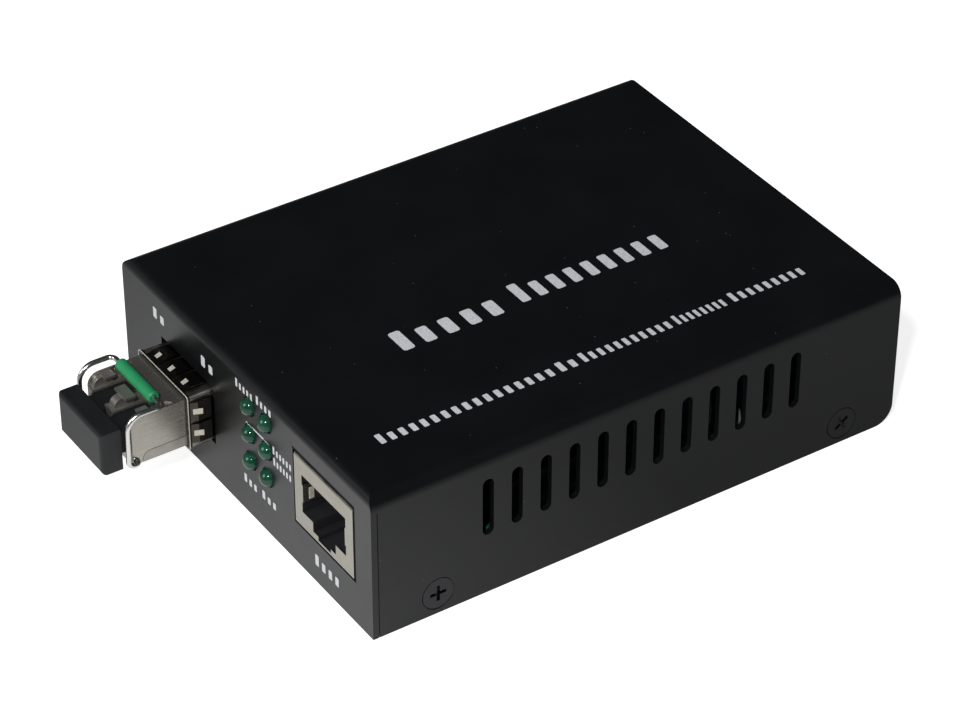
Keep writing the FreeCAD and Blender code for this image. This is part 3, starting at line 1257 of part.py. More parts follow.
PIECES = {
    "top_cover": top_cover, "base_tray": base_tray, "cover_screws": cover_screws,
    "pcb_standoffs": pcb_standoffs, "pcb_screws": pcb_screws, "circuit_board": circuit_board,
    "line_transformer": line_transformer, "converter_chip": lambda: package(CONVERTER_CHIP),
    "phy_chip": lambda: package(PHY_CHIP), "memory_chip": memory_chip, "regulator": regulator,
    "input_diode": lambda: package(DIODE), "inductor": inductor, "crystal": crystal,
    "capacitor_1": lambda: capacitor(0), "capacitor_2": lambda: capacitor(1), "small_parts": small_parts,
    "lamp_holder": lamp_holder, "lamp_leads": lamp_leads,
    "rj45_shield": rj45_shield, "rj45_housing": rj45_housing, "rj45_contacts": rj45_contacts,
    "dc_jack_body": dc_jack_body, "dc_jack_pin": dc_jack_pin, "dc_jack_spring": dc_jack_spring,
    "sfp_cage": sfp_cage, "cage_spring_collar": cage_spring_collar,
    "host_connector": host_connector, "host_contacts": host_contacts,
    "sfp_body": sfp_body, "sfp_cover": sfp_cover, "sfp_edge_board": sfp_edge_board,
    "transmit_optics": transmit_optics, "receive_optics": receive_optics, "optics_clamp": optics_clamp,
    "module_chip": module_chip, "rocker_pin": rocker_pin, "latch_rocker": latch_rocker,
    "bail_wire": bail_wire, "bail_sleeve": bail_sleeve, "dust_plug": dust_plug,
}


def main():
    os.makedirs("parts", exist_ok=True)
    for name, build in PIECES.items():
        build().exportStep(f"parts/{name}.step")
    number = 0
    for z in reversed(LAMP_Z):
        for x in LAMP_X:
            number += 1
            lamp(x, z).exportStep(f"parts/lamp_{number}.step")


main()
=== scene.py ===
"""Looks of a fibre media converter: a black folded steel case with an optical module, six lamps and a
modular jack.
"""
import bpy
import json
import math
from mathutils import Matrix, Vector


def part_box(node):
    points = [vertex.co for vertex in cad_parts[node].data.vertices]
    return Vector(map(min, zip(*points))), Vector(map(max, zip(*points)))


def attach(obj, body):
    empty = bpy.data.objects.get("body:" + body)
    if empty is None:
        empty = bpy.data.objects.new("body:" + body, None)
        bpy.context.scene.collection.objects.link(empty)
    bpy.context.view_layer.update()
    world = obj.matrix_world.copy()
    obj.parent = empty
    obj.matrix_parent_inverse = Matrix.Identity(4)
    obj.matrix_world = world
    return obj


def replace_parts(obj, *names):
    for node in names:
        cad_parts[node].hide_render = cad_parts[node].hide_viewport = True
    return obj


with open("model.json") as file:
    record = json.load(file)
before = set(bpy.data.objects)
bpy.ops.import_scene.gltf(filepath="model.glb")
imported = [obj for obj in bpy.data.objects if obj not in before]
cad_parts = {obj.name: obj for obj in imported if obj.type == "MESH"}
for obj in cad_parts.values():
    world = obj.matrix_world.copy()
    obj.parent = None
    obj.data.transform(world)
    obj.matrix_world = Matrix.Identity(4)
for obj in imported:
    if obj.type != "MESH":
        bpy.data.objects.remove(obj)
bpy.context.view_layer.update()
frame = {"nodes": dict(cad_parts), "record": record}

MM = 0.001
nodes = frame["nodes"]
joints = {joint["name"]: joint for joint in frame["record"]["behaviour"]["joints"]}
cover_low, cover_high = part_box("top_cover")
_, board_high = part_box("circuit_board")
FRONT = cover_low.y            # outer face of the front panel
TOP = cover_high.z             # outer face of the top
BOARD_TOP = board_high.z
BOARD_EDGE = board_high.x      # the board's edge on the jack's side
LAMPS = range(1, 7)


# ---------------------------------------------------------------- patterns

PATTERN_RANGE = (0.3, 0.7)     # nearly all of a noise pattern's values lie between these


def new_material(name):
    """An empty principled material with its Object coordinates."""
    material = bpy.data.materials.new(name)
    material.use_nodes = True
    tree = material.node_tree
    shader = tree.nodes["Principled BSDF"]
    place = tree.nodes.new("ShaderNodeTexCoord")
    return material, tree, shader, place.outputs["Object"]


def stretched(tree, place, scale):
    """Coordinates scaled along each axis: a pattern runs long where the scale is small."""
    mapping = tree.nodes.new("ShaderNodeMapping")
    mapping.inputs["Scale"].default_value = scale
    tree.links.new(place, mapping.inputs["Vector"])
    return mapping.outputs["Vector"]


def math_node(tree, operation, first, second):
    """The result of one operation on a socket and on another socket or a number."""
    node = tree.nodes.new("ShaderNodeMath")
    node.operation = operation
    tree.links.new(first, node.inputs[0])
    if isinstance(second, float):
        node.inputs[1].default_value = second
    else:
        tree.links.new(second, node.inputs[1])
    return node.outputs["Value"]


def noise(tree, place, size, detail=3.0):
    """Soft random pattern whose grains are about size across."""
    texture = tree.nodes.new("ShaderNodeTexNoise")
    texture.inputs["Scale"].default_value = 1 / size
    texture.inputs["Detail"].default_value = detail
    texture.inputs["Roughness"].default_value = 0.55
    tree.links.new(place, texture.inputs["Vector"])
    return texture.outputs["Fac"]


def cells(tree, place, size):
    """Random cells about size across: the outputs Distance and Color."""
    texture = tree.nodes.new("ShaderNodeTexVoronoi")
    texture.inputs["Scale"].default_value = 1 / size
    tree.links.new(place, texture.inputs["Vector"])
    return texture.outputs


def spread(tree, value, low, high):
    """Maps a pattern to the range from low to high."""
    node = tree.nodes.new("ShaderNodeMapRange")
    node.inputs["From Min"].default_value, node.inputs["From Max"].default_value = PATTERN_RANGE
    node.inputs["To Min"].default_value = low
    node.inputs["To Max"].default_value = high
    tree.links.new(value, node.inputs["Value"])
    return node.outputs["Result"]


def shades(tree, value, dark, light):
    """Maps a pattern to shades between two colours."""
    ramp = tree.nodes.new("ShaderNodeValToRGB")
    for stop, position, colour in zip(ramp.color_ramp.elements, PATTERN_RANGE, (dark, light)):
        stop.position = position
        stop.color = (*colour, 1)
    tree.links.new(value, ramp.inputs["Fac"])
    return ramp.outputs["Color"]


def relief(tree, shader, value, depth, strength):
    """Raises the surface by a pattern."""
    bump = tree.nodes.new("ShaderNodeBump")
    bump.inputs["Strength"].default_value = strength
    bump.inputs["Distance"].default_value = depth
    tree.links.new(value, bump.inputs["Height"])
    tree.links.new(bump.outputs["Normal"], shader.inputs["Normal"])


def times(colour, factor):
    """A colour made darker or lighter."""
    return tuple(channel * factor for channel in colour)


def overlaid(tree, cover, ground, colour):
    """The ground's colours with one colour laid over them where cover is 1."""
    node = tree.nodes.new("ShaderNodeMix")
    node.data_type = "RGBA"
    tree.links.new(cover, node.inputs["Factor"])
    tree.links.new(ground, node.inputs["A"])
    node.inputs["B"].default_value = (*colour, 1)
    return node.outputs["Result"]


# ---------------------------------------------------------------- materials

def powder_coat(name, colour):
    """Satin black powder coat: fine orange peel, slight cloudiness and a few specks of dust."""
    material, tree, shader, place = new_material(name)
    cloud = noise(tree, place, 14 * MM, detail=2)
    peel = noise(tree, place, 0.35 * MM, detail=2)
    coat = shades(tree, cloud, times(colour, 0.85), times(colour, 1.15))
    speck = math_node(tree, "LESS_THAN", cells(tree, place, 2.6 * MM)["Distance"], 0.03)
    tree.links.new(overlaid(tree, speck, coat, (0.12, 0.12, 0.13)), shader.inputs["Base Color"])
    tree.links.new(spread(tree, cloud, 0.34, 0.4), shader.inputs["Roughness"])
    shader.inputs["Specular IOR Level"].default_value = 0.33
    relief(tree, shader, peel, depth=0.012 * MM, strength=0.5)
    return material


def plated(name, colour, rough, along=(1, 1, 1), patch=5 * MM, tarnish=0.9, metal=1.0):
    """Plated or bare metal with rolling marks along one direction and patches of light tarnish."""
    material, tree, shader, place = new_material(name)
    patches = noise(tree, place, patch, detail=4)
    brush = noise(tree, stretched(tree, place, along), 0.25 * MM, detail=2)
    tree.links.new(shades(tree, patches, times(colour, tarnish), colour), shader.inputs["Base Color"])
    shader.inputs["Metallic"].default_value = metal
    tree.links.new(spread(tree, brush, rough * 0.8, rough * 1.25), shader.inputs["Roughness"])
    relief(tree, shader, brush, depth=0.002 * MM, strength=0.3)
    return material


def worn_tin(name, colour):
    """Tin rubbed matt where it has been pressed or handled."""
    material, tree, shader, place = new_material(name)
    cloud = noise(tree, place, 0.5 * MM)
    tree.links.new(shades(tree, cloud, times(colour, 0.75), colour), shader.inputs["Base Color"])
    shader.inputs["Metallic"].default_value = 0.3
    tree.links.new(spread(tree, cloud, 0.35, 0.55), shader.inputs["Roughness"])
    relief(tree, shader, cloud, depth=0.01 * MM, strength=0.3)
    return material


def cast_metal(name, colour, rough):
    """Tumbled casting under plating: soft pits all over."""
    material, tree, shader, place = new_material(name)
    cloud = noise(tree, place, 2 * MM, detail=4)
    pits = noise(tree, place, 0.18 * MM)
    tree.links.new(shades(tree, cloud, times(colour, 0.82), colour), shader.inputs["Base Color"])
    shader.inputs["Metallic"].default_value = 0.82
    tree.links.new(spread(tree, pits, rough * 0.8, rough * 1.3), shader.inputs["Roughness"])
    relief(tree, shader, pits, depth=0.01 * MM, strength=0.6)
    return material


def moulded(name, colour, rough, grain=0.3 * MM, depth=0.01 * MM, gloss=0.4):
    """Moulded plastic or rubber with a fine even grain."""
    material, tree, shader, place = new_material(name)
    cloud = noise(tree, place, 4 * MM)
    texture = noise(tree, place, grain)
    tree.links.new(shades(tree, cloud, times(colour, 0.86), times(colour, 1.1)), shader.inputs["Base Color"])
    tree.links.new(spread(tree, texture, rough * 0.9, rough * 1.15), shader.inputs["Roughness"])
    shader.inputs["Specular IOR Level"].default_value = gloss
    relief(tree, shader, texture, depth, strength=0.6)
    return material


def tinted_epoxy(name, colour):
    """Green tinted lamp epoxy, smooth outside and cloudy within."""
    material, tree, shader, place = new_material(name)
    cloud = noise(tree, place, 1.1 * MM, detail=2)
    dark, light = times(colour, 0.55), times(colour, 1.25)
    tree.links.new(shades(tree, cloud, dark, light), shader.inputs["Base Color"])
    tree.links.new(spread(tree, cloud, 0.06, 0.12), shader.inputs["Roughness"])
    shader.inputs["Specular IOR Level"].default_value = 0.35
    relief(tree, shader, cloud, depth=0.01 * MM, strength=0.15)
    return material


def solder_mask(name):
    """Green solder mask with copper tracks showing under it."""
    material, tree, shader, place = new_material(name)
    tracks = tree.nodes.new("ShaderNodeTexBrick")
    tracks.inputs["Scale"].default_value = 1 / (9 * MM)
    tracks.inputs["Mortar Size"].default_value = 0.03
    tracks.inputs["Color1"].default_value = (0.016, 0.15, 0.07, 1)
    tracks.inputs["Color2"].default_value = (0.02, 0.19, 0.09, 1)
    tracks.inputs["Mortar"].default_value = (0.06, 0.34, 0.18, 1)
    tree.links.new(place, tracks.inputs["Vector"])
    tree.links.new(tracks.outputs["Color"], shader.inputs["Base Color"])
    grain = noise(tree, place, 0.4 * MM)
    tree.links.new(spread(tree, grain, 0.28, 0.4), shader.inputs["Roughness"])
    relief(tree, shader, tracks.outputs["Fac"], depth=0.03 * MM, strength=0.5)
    return material


def ceramic_chips(name):
    """Small parts: each block takes one of a few browns, creams and greys."""
    material, tree, shader, place = new_material(name)
    brown, cream = (0.05, 0.035, 0.025), (0.55, 0.42, 0.28)
    blocks = cells(tree, place, 2.2 * MM)["Color"]
    tree.links.new(shades(tree, blocks, brown, cream), shader.inputs["Base Color"])
    grain = noise(tree, place, 0.2 * MM)
    tree.links.new(spread(tree, grain, 0.35, 0.5), shader.inputs["Roughness"])
    return material


def printed_ink(name, colour):
    """Matt screen-printed ink, a little uneven in its cover."""
    material, tree, shader, place = new_material(name)
    cover = noise(tree, place, 0.25 * MM)
    tree.links.new(shades(tree, cover, times(colour, 0.7), colour), shader.inputs["Base Color"])
    tree.links.new(spread(tree, cover, 0.5, 0.65), shader.inputs["Roughness"])
    return material


# the ways in which metal is drawn or rolled
ALONG_X, ALONG_Y, ALONG_Z = (0.1, 1, 1), (1, 0.1, 1), (1, 1, 0.1)

case_paint = powder_coat("case_paint", (0.0038, 0.0042, 0.005))
screw_black = plated("screw_black", (0.045, 0.045, 0.048), rough=0.35, patch=1.5 * MM)
bright_zinc = plated("bright_zinc", (0.62, 0.61, 0.57), rough=0.3)
pillar_steel = plated("pillar_steel", (0.6, 0.6, 0.58), rough=0.35, along=ALONG_Z)
board_mask = solder_mask("board_mask")
chip_epoxy = moulded("chip_epoxy", (0.02, 0.02, 0.022), rough=0.5)
crystal_can = plated("crystal_can", (0.7, 0.7, 0.68), rough=0.25, along=ALONG_X)
can_sleeve = moulded("can_sleeve", (0.03, 0.04, 0.08), rough=0.35, grain=0.5 * MM)
ferrite = moulded("ferrite", (0.06, 0.06, 0.065), rough=0.7, grain=0.15 * MM)
small_ceramics = ceramic_chips("small_ceramics")
holder_plastic = moulded("holder_plastic", (0.02, 0.02, 0.02), rough=0.6)
lamp_epoxy = tinted_epoxy("lamp_epoxy", (0.007, 0.06, 0.032))
tinned = plated("tinned", (0.66, 0.66, 0.63), rough=0.3, along=(1, 1, 0.2), patch=1 * MM)
jack_nickel = plated("jack_nickel", (0.3, 0.285, 0.245), rough=0.32, along=ALONG_X)
jack_plastic = moulded("jack_plastic", (0.012, 0.012, 0.014), rough=0.5)
contact_gold = plated("contact_gold", (0.8, 0.58, 0.22), rough=0.2, along=ALONG_Y, patch=1 * MM)
inlet_plastic = moulded("inlet_plastic", (0.018, 0.018, 0.019), rough=0.45)
inlet_nickel = plated("inlet_nickel", (0.7, 0.67, 0.6), rough=0.22, along=ALONG_Y, patch=1.5 * MM)
cage_nickel = plated("cage_nickel", (0.56, 0.53, 0.47), rough=0.32, along=ALONG_Y)
# the collar's tin darkened all over: painted shade, standing for the dark panel that its fingers reflect
collar_painted_shade = plated("collar_painted_shade", (0.055, 0.05, 0.043), rough=0.32, along=ALONG_Z, patch=1.5 * MM)
# bright tin: the real colour of the jack's spring and the pin ends, and a painted highlight on the collar's
# caps and bead
tin_and_painted_glint = worn_tin("tin_and_painted_glint", (0.62, 0.59, 0.5))
module_cast = cast_metal("module_cast", (0.38, 0.36, 0.33), rough=0.38)
module_sheet = plated("module_sheet", (0.36, 0.34, 0.305), rough=0.26, along=(1, 0.08, 1), patch=4 * MM,
                      metal=0.86)
turned_steel = plated("turned_steel", (0.62, 0.6, 0.56), rough=0.25, along=ALONG_Y, patch=2 * MM)
clamp_steel = plated("clamp_steel", (0.55, 0.55, 0.55), rough=0.35)
rocker_cast = cast_metal("rocker_cast", (0.54, 0.52, 0.49), rough=0.34)
bail_steel = plated("bail_steel", (0.6, 0.59, 0.57), rough=0.24, patch=3 * MM, tarnish=0.95)
sleeve_rubber = moulded("sleeve_rubber", (0.02, 0.26, 0.1), rough=0.42, grain=0.6 * MM)
plug_rubber = moulded("plug_rubber", (0.01, 0.0108, 0.0118), rough=0.5, grain=0.22 * MM, depth=0.014 * MM,
                      gloss=0.3)
# near black: painted shadow in the gap between the jack and the panel's cut-out
gap_shadow_paint = moulded("gap_shadow_paint", (0.002, 0.002, 0.002), rough=0.7, gloss=0.1)
white_ink = printed_ink("white_ink", (0.72, 0.74, 0.77))

FINISHES = {
    case_paint: ["top_cover", "base_tray"],
    screw_black: ["cover_screws"],
    bright_zinc: ["pcb_screws", "rocker_pin"],
    pillar_steel: ["pcb_standoffs"],
    board_mask: ["circuit_board", "sfp_edge_board"],
    chip_epoxy: ["line_transformer", "converter_chip", "phy_chip", "memory_chip", "regulator", "input_diode",
                 "module_chip"],
    crystal_can: ["crystal"],
    can_sleeve: ["capacitor_1", "capacitor_2"],
    ferrite: ["inductor"],
    small_ceramics: ["small_parts"],
    holder_plastic: ["lamp_holder"],
    lamp_epoxy: [f"lamp_{number}" for number in LAMPS],
    tinned: ["lamp_leads"],
    jack_nickel: ["rj45_shield"],
    jack_plastic: ["rj45_housing", "host_connector"],
    contact_gold: ["rj45_contacts", "host_contacts"],
    inlet_plastic: ["dc_jack_body"],
    inlet_nickel: ["dc_jack_pin", "dc_jack_spring"],
    cage_nickel: ["sfp_cage"],
    collar_painted_shade: ["cage_spring_collar"],
    module_cast: ["sfp_body"],
    module_sheet: ["sfp_cover"],
    turned_steel: ["transmit_optics", "receive_optics"],
    clamp_steel: ["optics_clamp"],
    rocker_cast: ["latch_rocker"],
    bail_steel: ["bail_wire"],
    sleeve_rubber: ["bail_sleeve"],
    plug_rubber: ["dust_plug"],
}
for finish, names in FINISHES.items():
    for name in names:
        mesh = nodes[name].data
        mesh.materials.clear()
        mesh.materials.append(finish)


# ---------------------------------------------------------------- modelling by hand

def begin_edit():
    bpy.ops.object.mode_set(mode="EDIT")
    bpy.ops.mesh.select_all(action="SELECT")


def end_edit():
    bpy.ops.object.mode_set(mode="OBJECT")


def deselect():
    bpy.ops.object.select_all(action="DESELECT")


def pick(piece, kind, wanted):
    """In edit mode, selects only those faces or edges of a piece for which wanted is true."""
    bpy.ops.mesh.select_mode(type=kind)
    bpy.ops.mesh.select_all(action="DESELECT")
    end_edit()
    for element in piece.data.polygons if kind == "FACE" else piece.data.edges:
        element.select = wanted(element)
    bpy.ops.object.mode_set(mode="EDIT")


def extrude(offset, **how):
    """In edit mode, draws the selection out by an offset."""
    bpy.ops.mesh.extrude_region_move(TRANSFORM_OT_translate={"value": offset, **how})


def face_outwards():
    """In edit mode, turns every face outwards."""
    bpy.ops.mesh.select_all(action="SELECT")
    bpy.ops.mesh.normals_make_consistent(inside=False)


def smooth(degrees=40):
    """Smooth shading across every edge that bends less than an angle."""
    bpy.ops.object.shade_smooth_by_angle(angle=math.radians(degrees))


def set_in_place(piece):
    """Puts a piece's place and turn into its mesh, so that its object stands at the origin."""
    deselect()
    piece.select_set(True)
    bpy.context.view_layer.objects.active = piece
    bpy.ops.object.transform_apply(location=True, rotation=True, scale=True)


def settle(piece, name, material, body):
    """Names and paints a finished piece, sets it in place and makes it ride on a body."""
    piece.name = name
    set_in_place(piece)
    piece.data.materials.clear()
    piece.data.materials.append(material)
    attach(piece, body)
    return piece


def join(pieces):
    """Several pieces as one."""
    deselect()
    for piece in pieces:
        piece.select_set(True)
    bpy.context.view_layer.objects.active = pieces[0]
    bpy.ops.object.join()
    return bpy.context.view_layer.objects.active


def plate(centre, size, soften):
    """A thin block with its edges rounded over."""
    deselect()
    bpy.ops.mesh.primitive_cube_add(size=1, location=centre)
    piece = bpy.context.active_object
    begin_edit()
    bpy.ops.transform.resize(value=size)
    bpy.ops.mesh.bevel(offset=soften, segments=2)
    end_edit()
    return piece


# ---------------------------------------------------------------- print on the case

PRINT_T = 0.02 * MM            # thickness of screen-printed ink
MARK_CORNER = 0.2              # cut at a mark's corners, as a share of its shorter side
LETTER_W = 0.5                 # width of a letter's mark, as a share of the pitch
SMALL_LETTER = 0.78            # height of the marks after a word's first, as a share of it
ALONG_CASE = (0, 0, math.pi / 2)
ON_PANEL = (math.pi / 2, 0, 0)
# the line between the lamps, in millimetres: middle (x, z), length, width
LAMP_RULE = (4.35, 17.25, 6.5, 0.28)

# a word on the top, in millimetres: start (x, distance from the front), length, height, letters
TOP_WORDS = [(8.6, 22.7, 17.6, 4.9, 5), (8.0, 43.9, 26.6, 4.9, 9),
             (25.5, 8.2, 29.6, 2.3, 17), (25.4, 39.0, 2.9, 2.3, 2), (25.3, 43.1, 15.7, 2.3, 11),
             (25.2, 59.9, 8.9, 2.3, 8), (25.1, 70.2, 13.2, 2.3, 9)]
# a word on the front, in millimetres: start (x, z), length, height, letters
PANEL_WORDS = [(-26.1, 19.8, 3.2, 1.9, 2), (-11.7, 19.6, 3.3, 1.9, 2), (-1.5, 22.2, 4.7, 1.5, 5),
               (4.4, 22.6, 4.1, 1.5, 4), (8.7, 16.3, 5.1, 1.4, 6), (8.8, 14.3, 4.9, 1.4, 6),
               (-0.1, 5.6, 3.5, 1.5, 3), (5.1, 5.8, 3.8, 1.5, 3), (19.9, 3.4, 6.4, 2.0, 4)]


def printed_mark(centre, size, turn):
    """One flat mark of ink with its corners cut; turn sets the face it lies on."""
    deselect()
    bpy.ops.mesh.primitive_plane_add(size=1, location=centre, rotation=turn)
    piece = bpy.context.active_object
    begin_edit()
    bpy.ops.transform.resize(value=(size[0], size[1], 1), orient_type="LOCAL")
    bpy.ops.mesh.bevel(offset=min(size) * MARK_CORNER, segments=2, affect="VERTICES")
    extrude((0, 0, PRINT_T), orient_type="LOCAL")
    face_outwards()
    end_edit()
    return piece


def word_marks(start, length, height, letters, across, up, turn):
    """A word as a row of plain bars: start is its lower left corner, across and up are its directions."""
    pitch = length / (letters - 1 + LETTER_W)
    marks = []
    for i in range(letters):
        tall = height if i == 0 else height * SMALL_LETTER
        middle = start + across * (pitch * (i + LETTER_W / 2)) + up * (tall / 2)
        marks.append(printed_mark(middle, (pitch * LETTER_W, tall), turn))
    return marks


def on_top(x, from_front):
    return Vector((x * MM, FRONT + from_front * MM, TOP))


def on_front(x, z):
    return Vector((x * MM, FRONT, z * MM))


def top_print():
    """Two large words and a line of small ones, read from the jack's side."""
    backwards, left = Vector((0, 1, 0)), Vector((-1, 0, 0))
    marks = []
    for x, from_front, length, height, letters in TOP_WORDS:
        marks += word_marks(on_top(x, from_front), length * MM, height * MM, letters, backwards, left,
                            ALONG_CASE)
    settle(join(marks), "top_print", white_ink, "chassis")


def panel_print():
    """The words beside the ports and the lamps, and the line between the lamps."""
    right, up = Vector((1, 0, 0)), Vector((0, 0, 1))
    marks = []
    for x, z, length, height, letters in PANEL_WORDS:
        marks += word_marks(on_front(x, z), length * MM, height * MM, letters, right, up, ON_PANEL)
    x, z, length, width = LAMP_RULE
    marks.append(printed_mark(on_front(x, z), (length * MM, width * MM), ON_PANEL))
    settle(join(marks), "panel_print", white_ink, "chassis")


top_print()
panel_print()


# ---------------------------------------------------------------- lamps

DOME_IN = 0.1 * MM             # middle of a lamp's dome, behind the panel's outer face
LIP_REACH = 0.3 * MM           # lamp to the outer edge of its lip of paint
LIP_W = 0.16 * MM
LIP_H = 0.05 * MM
LIP_ROUND = 0.04 * MM


def lamp_dome(number):
    """The domed lens of a lamp, turned out of its stem and standing out of the panel."""
    low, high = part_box(f"lamp_{number}")
    radius = (high.x - low.x) / 2
    centre = Vector(((low.x + high.x) / 2, FRONT + DOME_IN, (low.z + high.z) / 2))
    deselect()
    bpy.ops.mesh.primitive_uv_sphere_add(segments=32, ring_count=16, radius=radius, location=centre,
                                         rotation=ON_PANEL)
    piece = bpy.context.active_object
    begin_edit()
    bpy.ops.mesh.bisect(plane_co=centre, plane_no=(0, 1, 0), clear_outer=True)
    extrude((0, high.y - centre.y, 0))
    bpy.ops.mesh.edge_face_add()
    face_outwards()
    end_edit()
    smooth()
    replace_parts(settle(piece, f"lamp_lens_{number}", lamp_epoxy, "chassis"), f"lamp_{number}")
    return centre, radius


def paint_lip(centre, radius):
    """The rounded edge of paint round a lamp's hole, radius being its outer one."""
    deselect()
    bpy.ops.mesh.primitive_circle_add(vertices=48, radius=radius, fill_type="NGON",
                                      location=(centre.x, FRONT, centre.z), rotation=ON_PANEL)
    begin_edit()
    bpy.ops.mesh.inset(thickness=LIP_W)
    bpy.ops.mesh.delete(type="FACE")
    bpy.ops.mesh.select_all(action="SELECT")
    extrude((0, -LIP_H, 0))
    bpy.ops.mesh.bevel(offset=LIP_ROUND, segments=3)
    face_outwards()
    end_edit()
    return bpy.context.active_object


lips = []
for number in LAMPS:
    centre, radius = lamp_dome(number)
    lips.append(paint_lip(centre, radius + LIP_REACH))
settle(join(lips), "lamp_hole_lips", case_paint, "chassis")


# ---------------------------------------------------------------- bail of the optical module

BAIL_R = 0.42 * MM             # radius of the wire
FOOT_L = 1.4 * MM              # end of the wire, from the arm into the module's nose
FOOT_BEND = 1.3 * BAIL_R
TOE_OUT = 1.7 * MM             # lowest point of the arm, forward of the hinge
TOE_DROP = 0.3 * MM            # and below it
TOE_BEND = 1.0 * MM
ARM_OUT = 1.45 * MM            # top of the arm, forward of the hinge
ARM_BEND = 2.6 * MM
GRIP_BEND = 1.1 * MM           # from the arm into the sleeve


def mirror_half(piece, middle):
    """Adds the other half of a piece whose own half ends at x = middle."""
    centre_mark = bpy.data.objects.new("mirror_middle", None)
    bpy.context.scene.collection.objects.link(centre_mark)
    centre_mark.location = (middle, 0, 0)
    mirror = piece.modifiers.new("other_half", "MIRROR")
    mirror.mirror_object = centre_mark
    mirror.merge_threshold = 0.01 * MM
    bpy.context.view_layer.update()
    bpy.ops.object.modifier_apply(modifier=mirror.name)
    bpy.data.objects.remove(centre_mark)


def bail_loop():
    """The bail as one smooth wire: drawn out straight by straight and spun round each of its bends."""
    low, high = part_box("bail_wire")
    grip_low, grip_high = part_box("bail_sleeve")
    middle = (low.x + high.x) / 2
    arm_x = high.x - BAIL_R
    grip_y, grip_z = (grip_low.y + grip_high.y) / 2, (grip_low.z + grip_high.z) / 2
    _, hinge_y, hinge_z = joints["bail_swing"]["pos_m"]
    corners = [(Vector((arm_x - FOOT_L, hinge_y, hinge_z)), 0),
               (Vector((arm_x, hinge_y, hinge_z)), FOOT_BEND),
               (Vector((arm_x, hinge_y - TOE_OUT, hinge_z - TOE_DROP)), TOE_BEND),
               (Vector((arm_x, hinge_y - ARM_OUT, grip_z)), ARM_BEND),
               (Vector((arm_x, grip_y, grip_z)), GRIP_BEND),
               (Vector((middle, grip_y, grip_z)), 0)]
    foot, knee = corners[0][0], corners[1][0]
    deselect()
    bpy.ops.mesh.primitive_circle_add(vertices=24, radius=BAIL_R, fill_type="NGON", location=foot,
                                      rotation=(knee - foot).to_track_quat("Z", "Y").to_euler())
    piece = bpy.context.active_object
    begin_edit()
    reached = foot
    for (before, _), (here, bend), (after, _) in zip(corners, corners[1:], corners[2:]):
        arriving = (here - before).normalized()
        leaving = (after - here).normalized()
        turn = arriving.angle(leaving)
        cut = bend * math.tan(turn / 2)
        extrude(here - arriving * cut - reached)
        inward = (leaving - arriving).normalized()
        centre = here + inward * (bend / math.cos(turn / 2))
        bpy.ops.mesh.spin(steps=10, angle=turn, center=centre, axis=leaving.cross(arriving).normalized())
        reached = here + leaving * cut
    extrude(corners[-1][0] - reached)
    bpy.ops.mesh.delete(type="FACE")
    end_edit()
    set_in_place(piece)
    mirror_half(piece, middle)
    begin_edit()
    face_outwards()
    end_edit()
    smooth()
    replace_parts(settle(piece, "bail_loop", bail_steel, "bail"), "bail_wire")


bail_loop()


# ---------------------------------------------------------------- sprung collar of the module's bay

BUMP_PITCH = 3.95 * MM         # between neighbouring bumps
BUMP_OUT = 2.65 * MM           # middle of a bump, out from the panel
BUMP_IN = 0.28 * MM            # middle of a cap, inside the collar's widest reach
SIDE_BUMPS_UP = 5.5 * MM       # middle of a side's two bumps, up from the collar's lower edge
BUMP_SLOPE = math.atan(0.65 / 1.6)     # a bump rises 0.65 mm in 1.6 mm, towards the panel
SIDE_CAP = (0.1 * MM, 1.5 * MM, 1.0 * MM)
TOP_CAP = (0.85 * MM, 1.0 * MM, 0.1 * MM)
CAP_ROUND = 0.03 * MM


def collar_glint_caps():
    """Bright caps on the collar's pressed bumps: painted glints, where light catches each bump."""
    low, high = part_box("cage_spring_collar")
    middle = (low.x + high.x) / 2
    heights = [low.z + SIDE_BUMPS_UP + row * BUMP_PITCH for row in (-0.5, 0.5)]
    columns = [middle + column * BUMP_PITCH for column in (-1, 0, 1)]
    caps = [(column, high.z - BUMP_IN, TOP_CAP, "X", -BUMP_SLOPE) for column in columns]
    caps += [(high.x - BUMP_IN, height, SIDE_CAP, "Z", BUMP_SLOPE) for height in heights]
    caps += [(low.x + BUMP_IN, height, SIDE_CAP, "Z", -BUMP_SLOPE) for height in heights]
    pieces = []
    for x, z, size, axis, slope in caps:
        place = (x, FRONT - BUMP_OUT, z)
        pieces.append(plate(place, size, CAP_ROUND))
        begin_edit()
        bpy.ops.transform.rotate(value=slope, orient_axis=axis, center_override=place)
        end_edit()
    settle(join(pieces), "collar_painted_glints", tin_and_painted_glint, "chassis")


collar_glint_caps()


# ---------------------------------------------------------------- modular jack

JACK_H = 12.8 * MM             # the shield without its pins
JACK_WALL_IN = 2.0 * MM        # left wall of the jack's opening, in from the shield's side
SPRING_DOWN = 6.4 * MM         # middle of the side spring, below the shield's top
SPRING_IN = 0.05 * MM          # its near end, behind the panel's face
SPRING_W = 2.1 * MM
LEAF_T = 0.2 * MM
LEAF_L = 0.9 * MM
LEAF_ROUND = 0.05 * MM
PAD_T = 0.4 * MM
PAD_L = 1.3 * MM
PAD_DROP = 0.1 * MM
PAD_ROUND = 0.08 * MM

CUT_SIDE = 0.28 * MM           # shield to the panel's cut-out
CUT_TOP = 0.55 * MM
CUT_BOTTOM = 0.1 * MM
GAP_SHADOW_W = 0.24 * MM         # width of the painted shadow in the gap round the jack, as far as it shows
GAP_SHADOW_T = 0.03 * MM
GAP_SHADOW_ROUND = 0.01 * MM


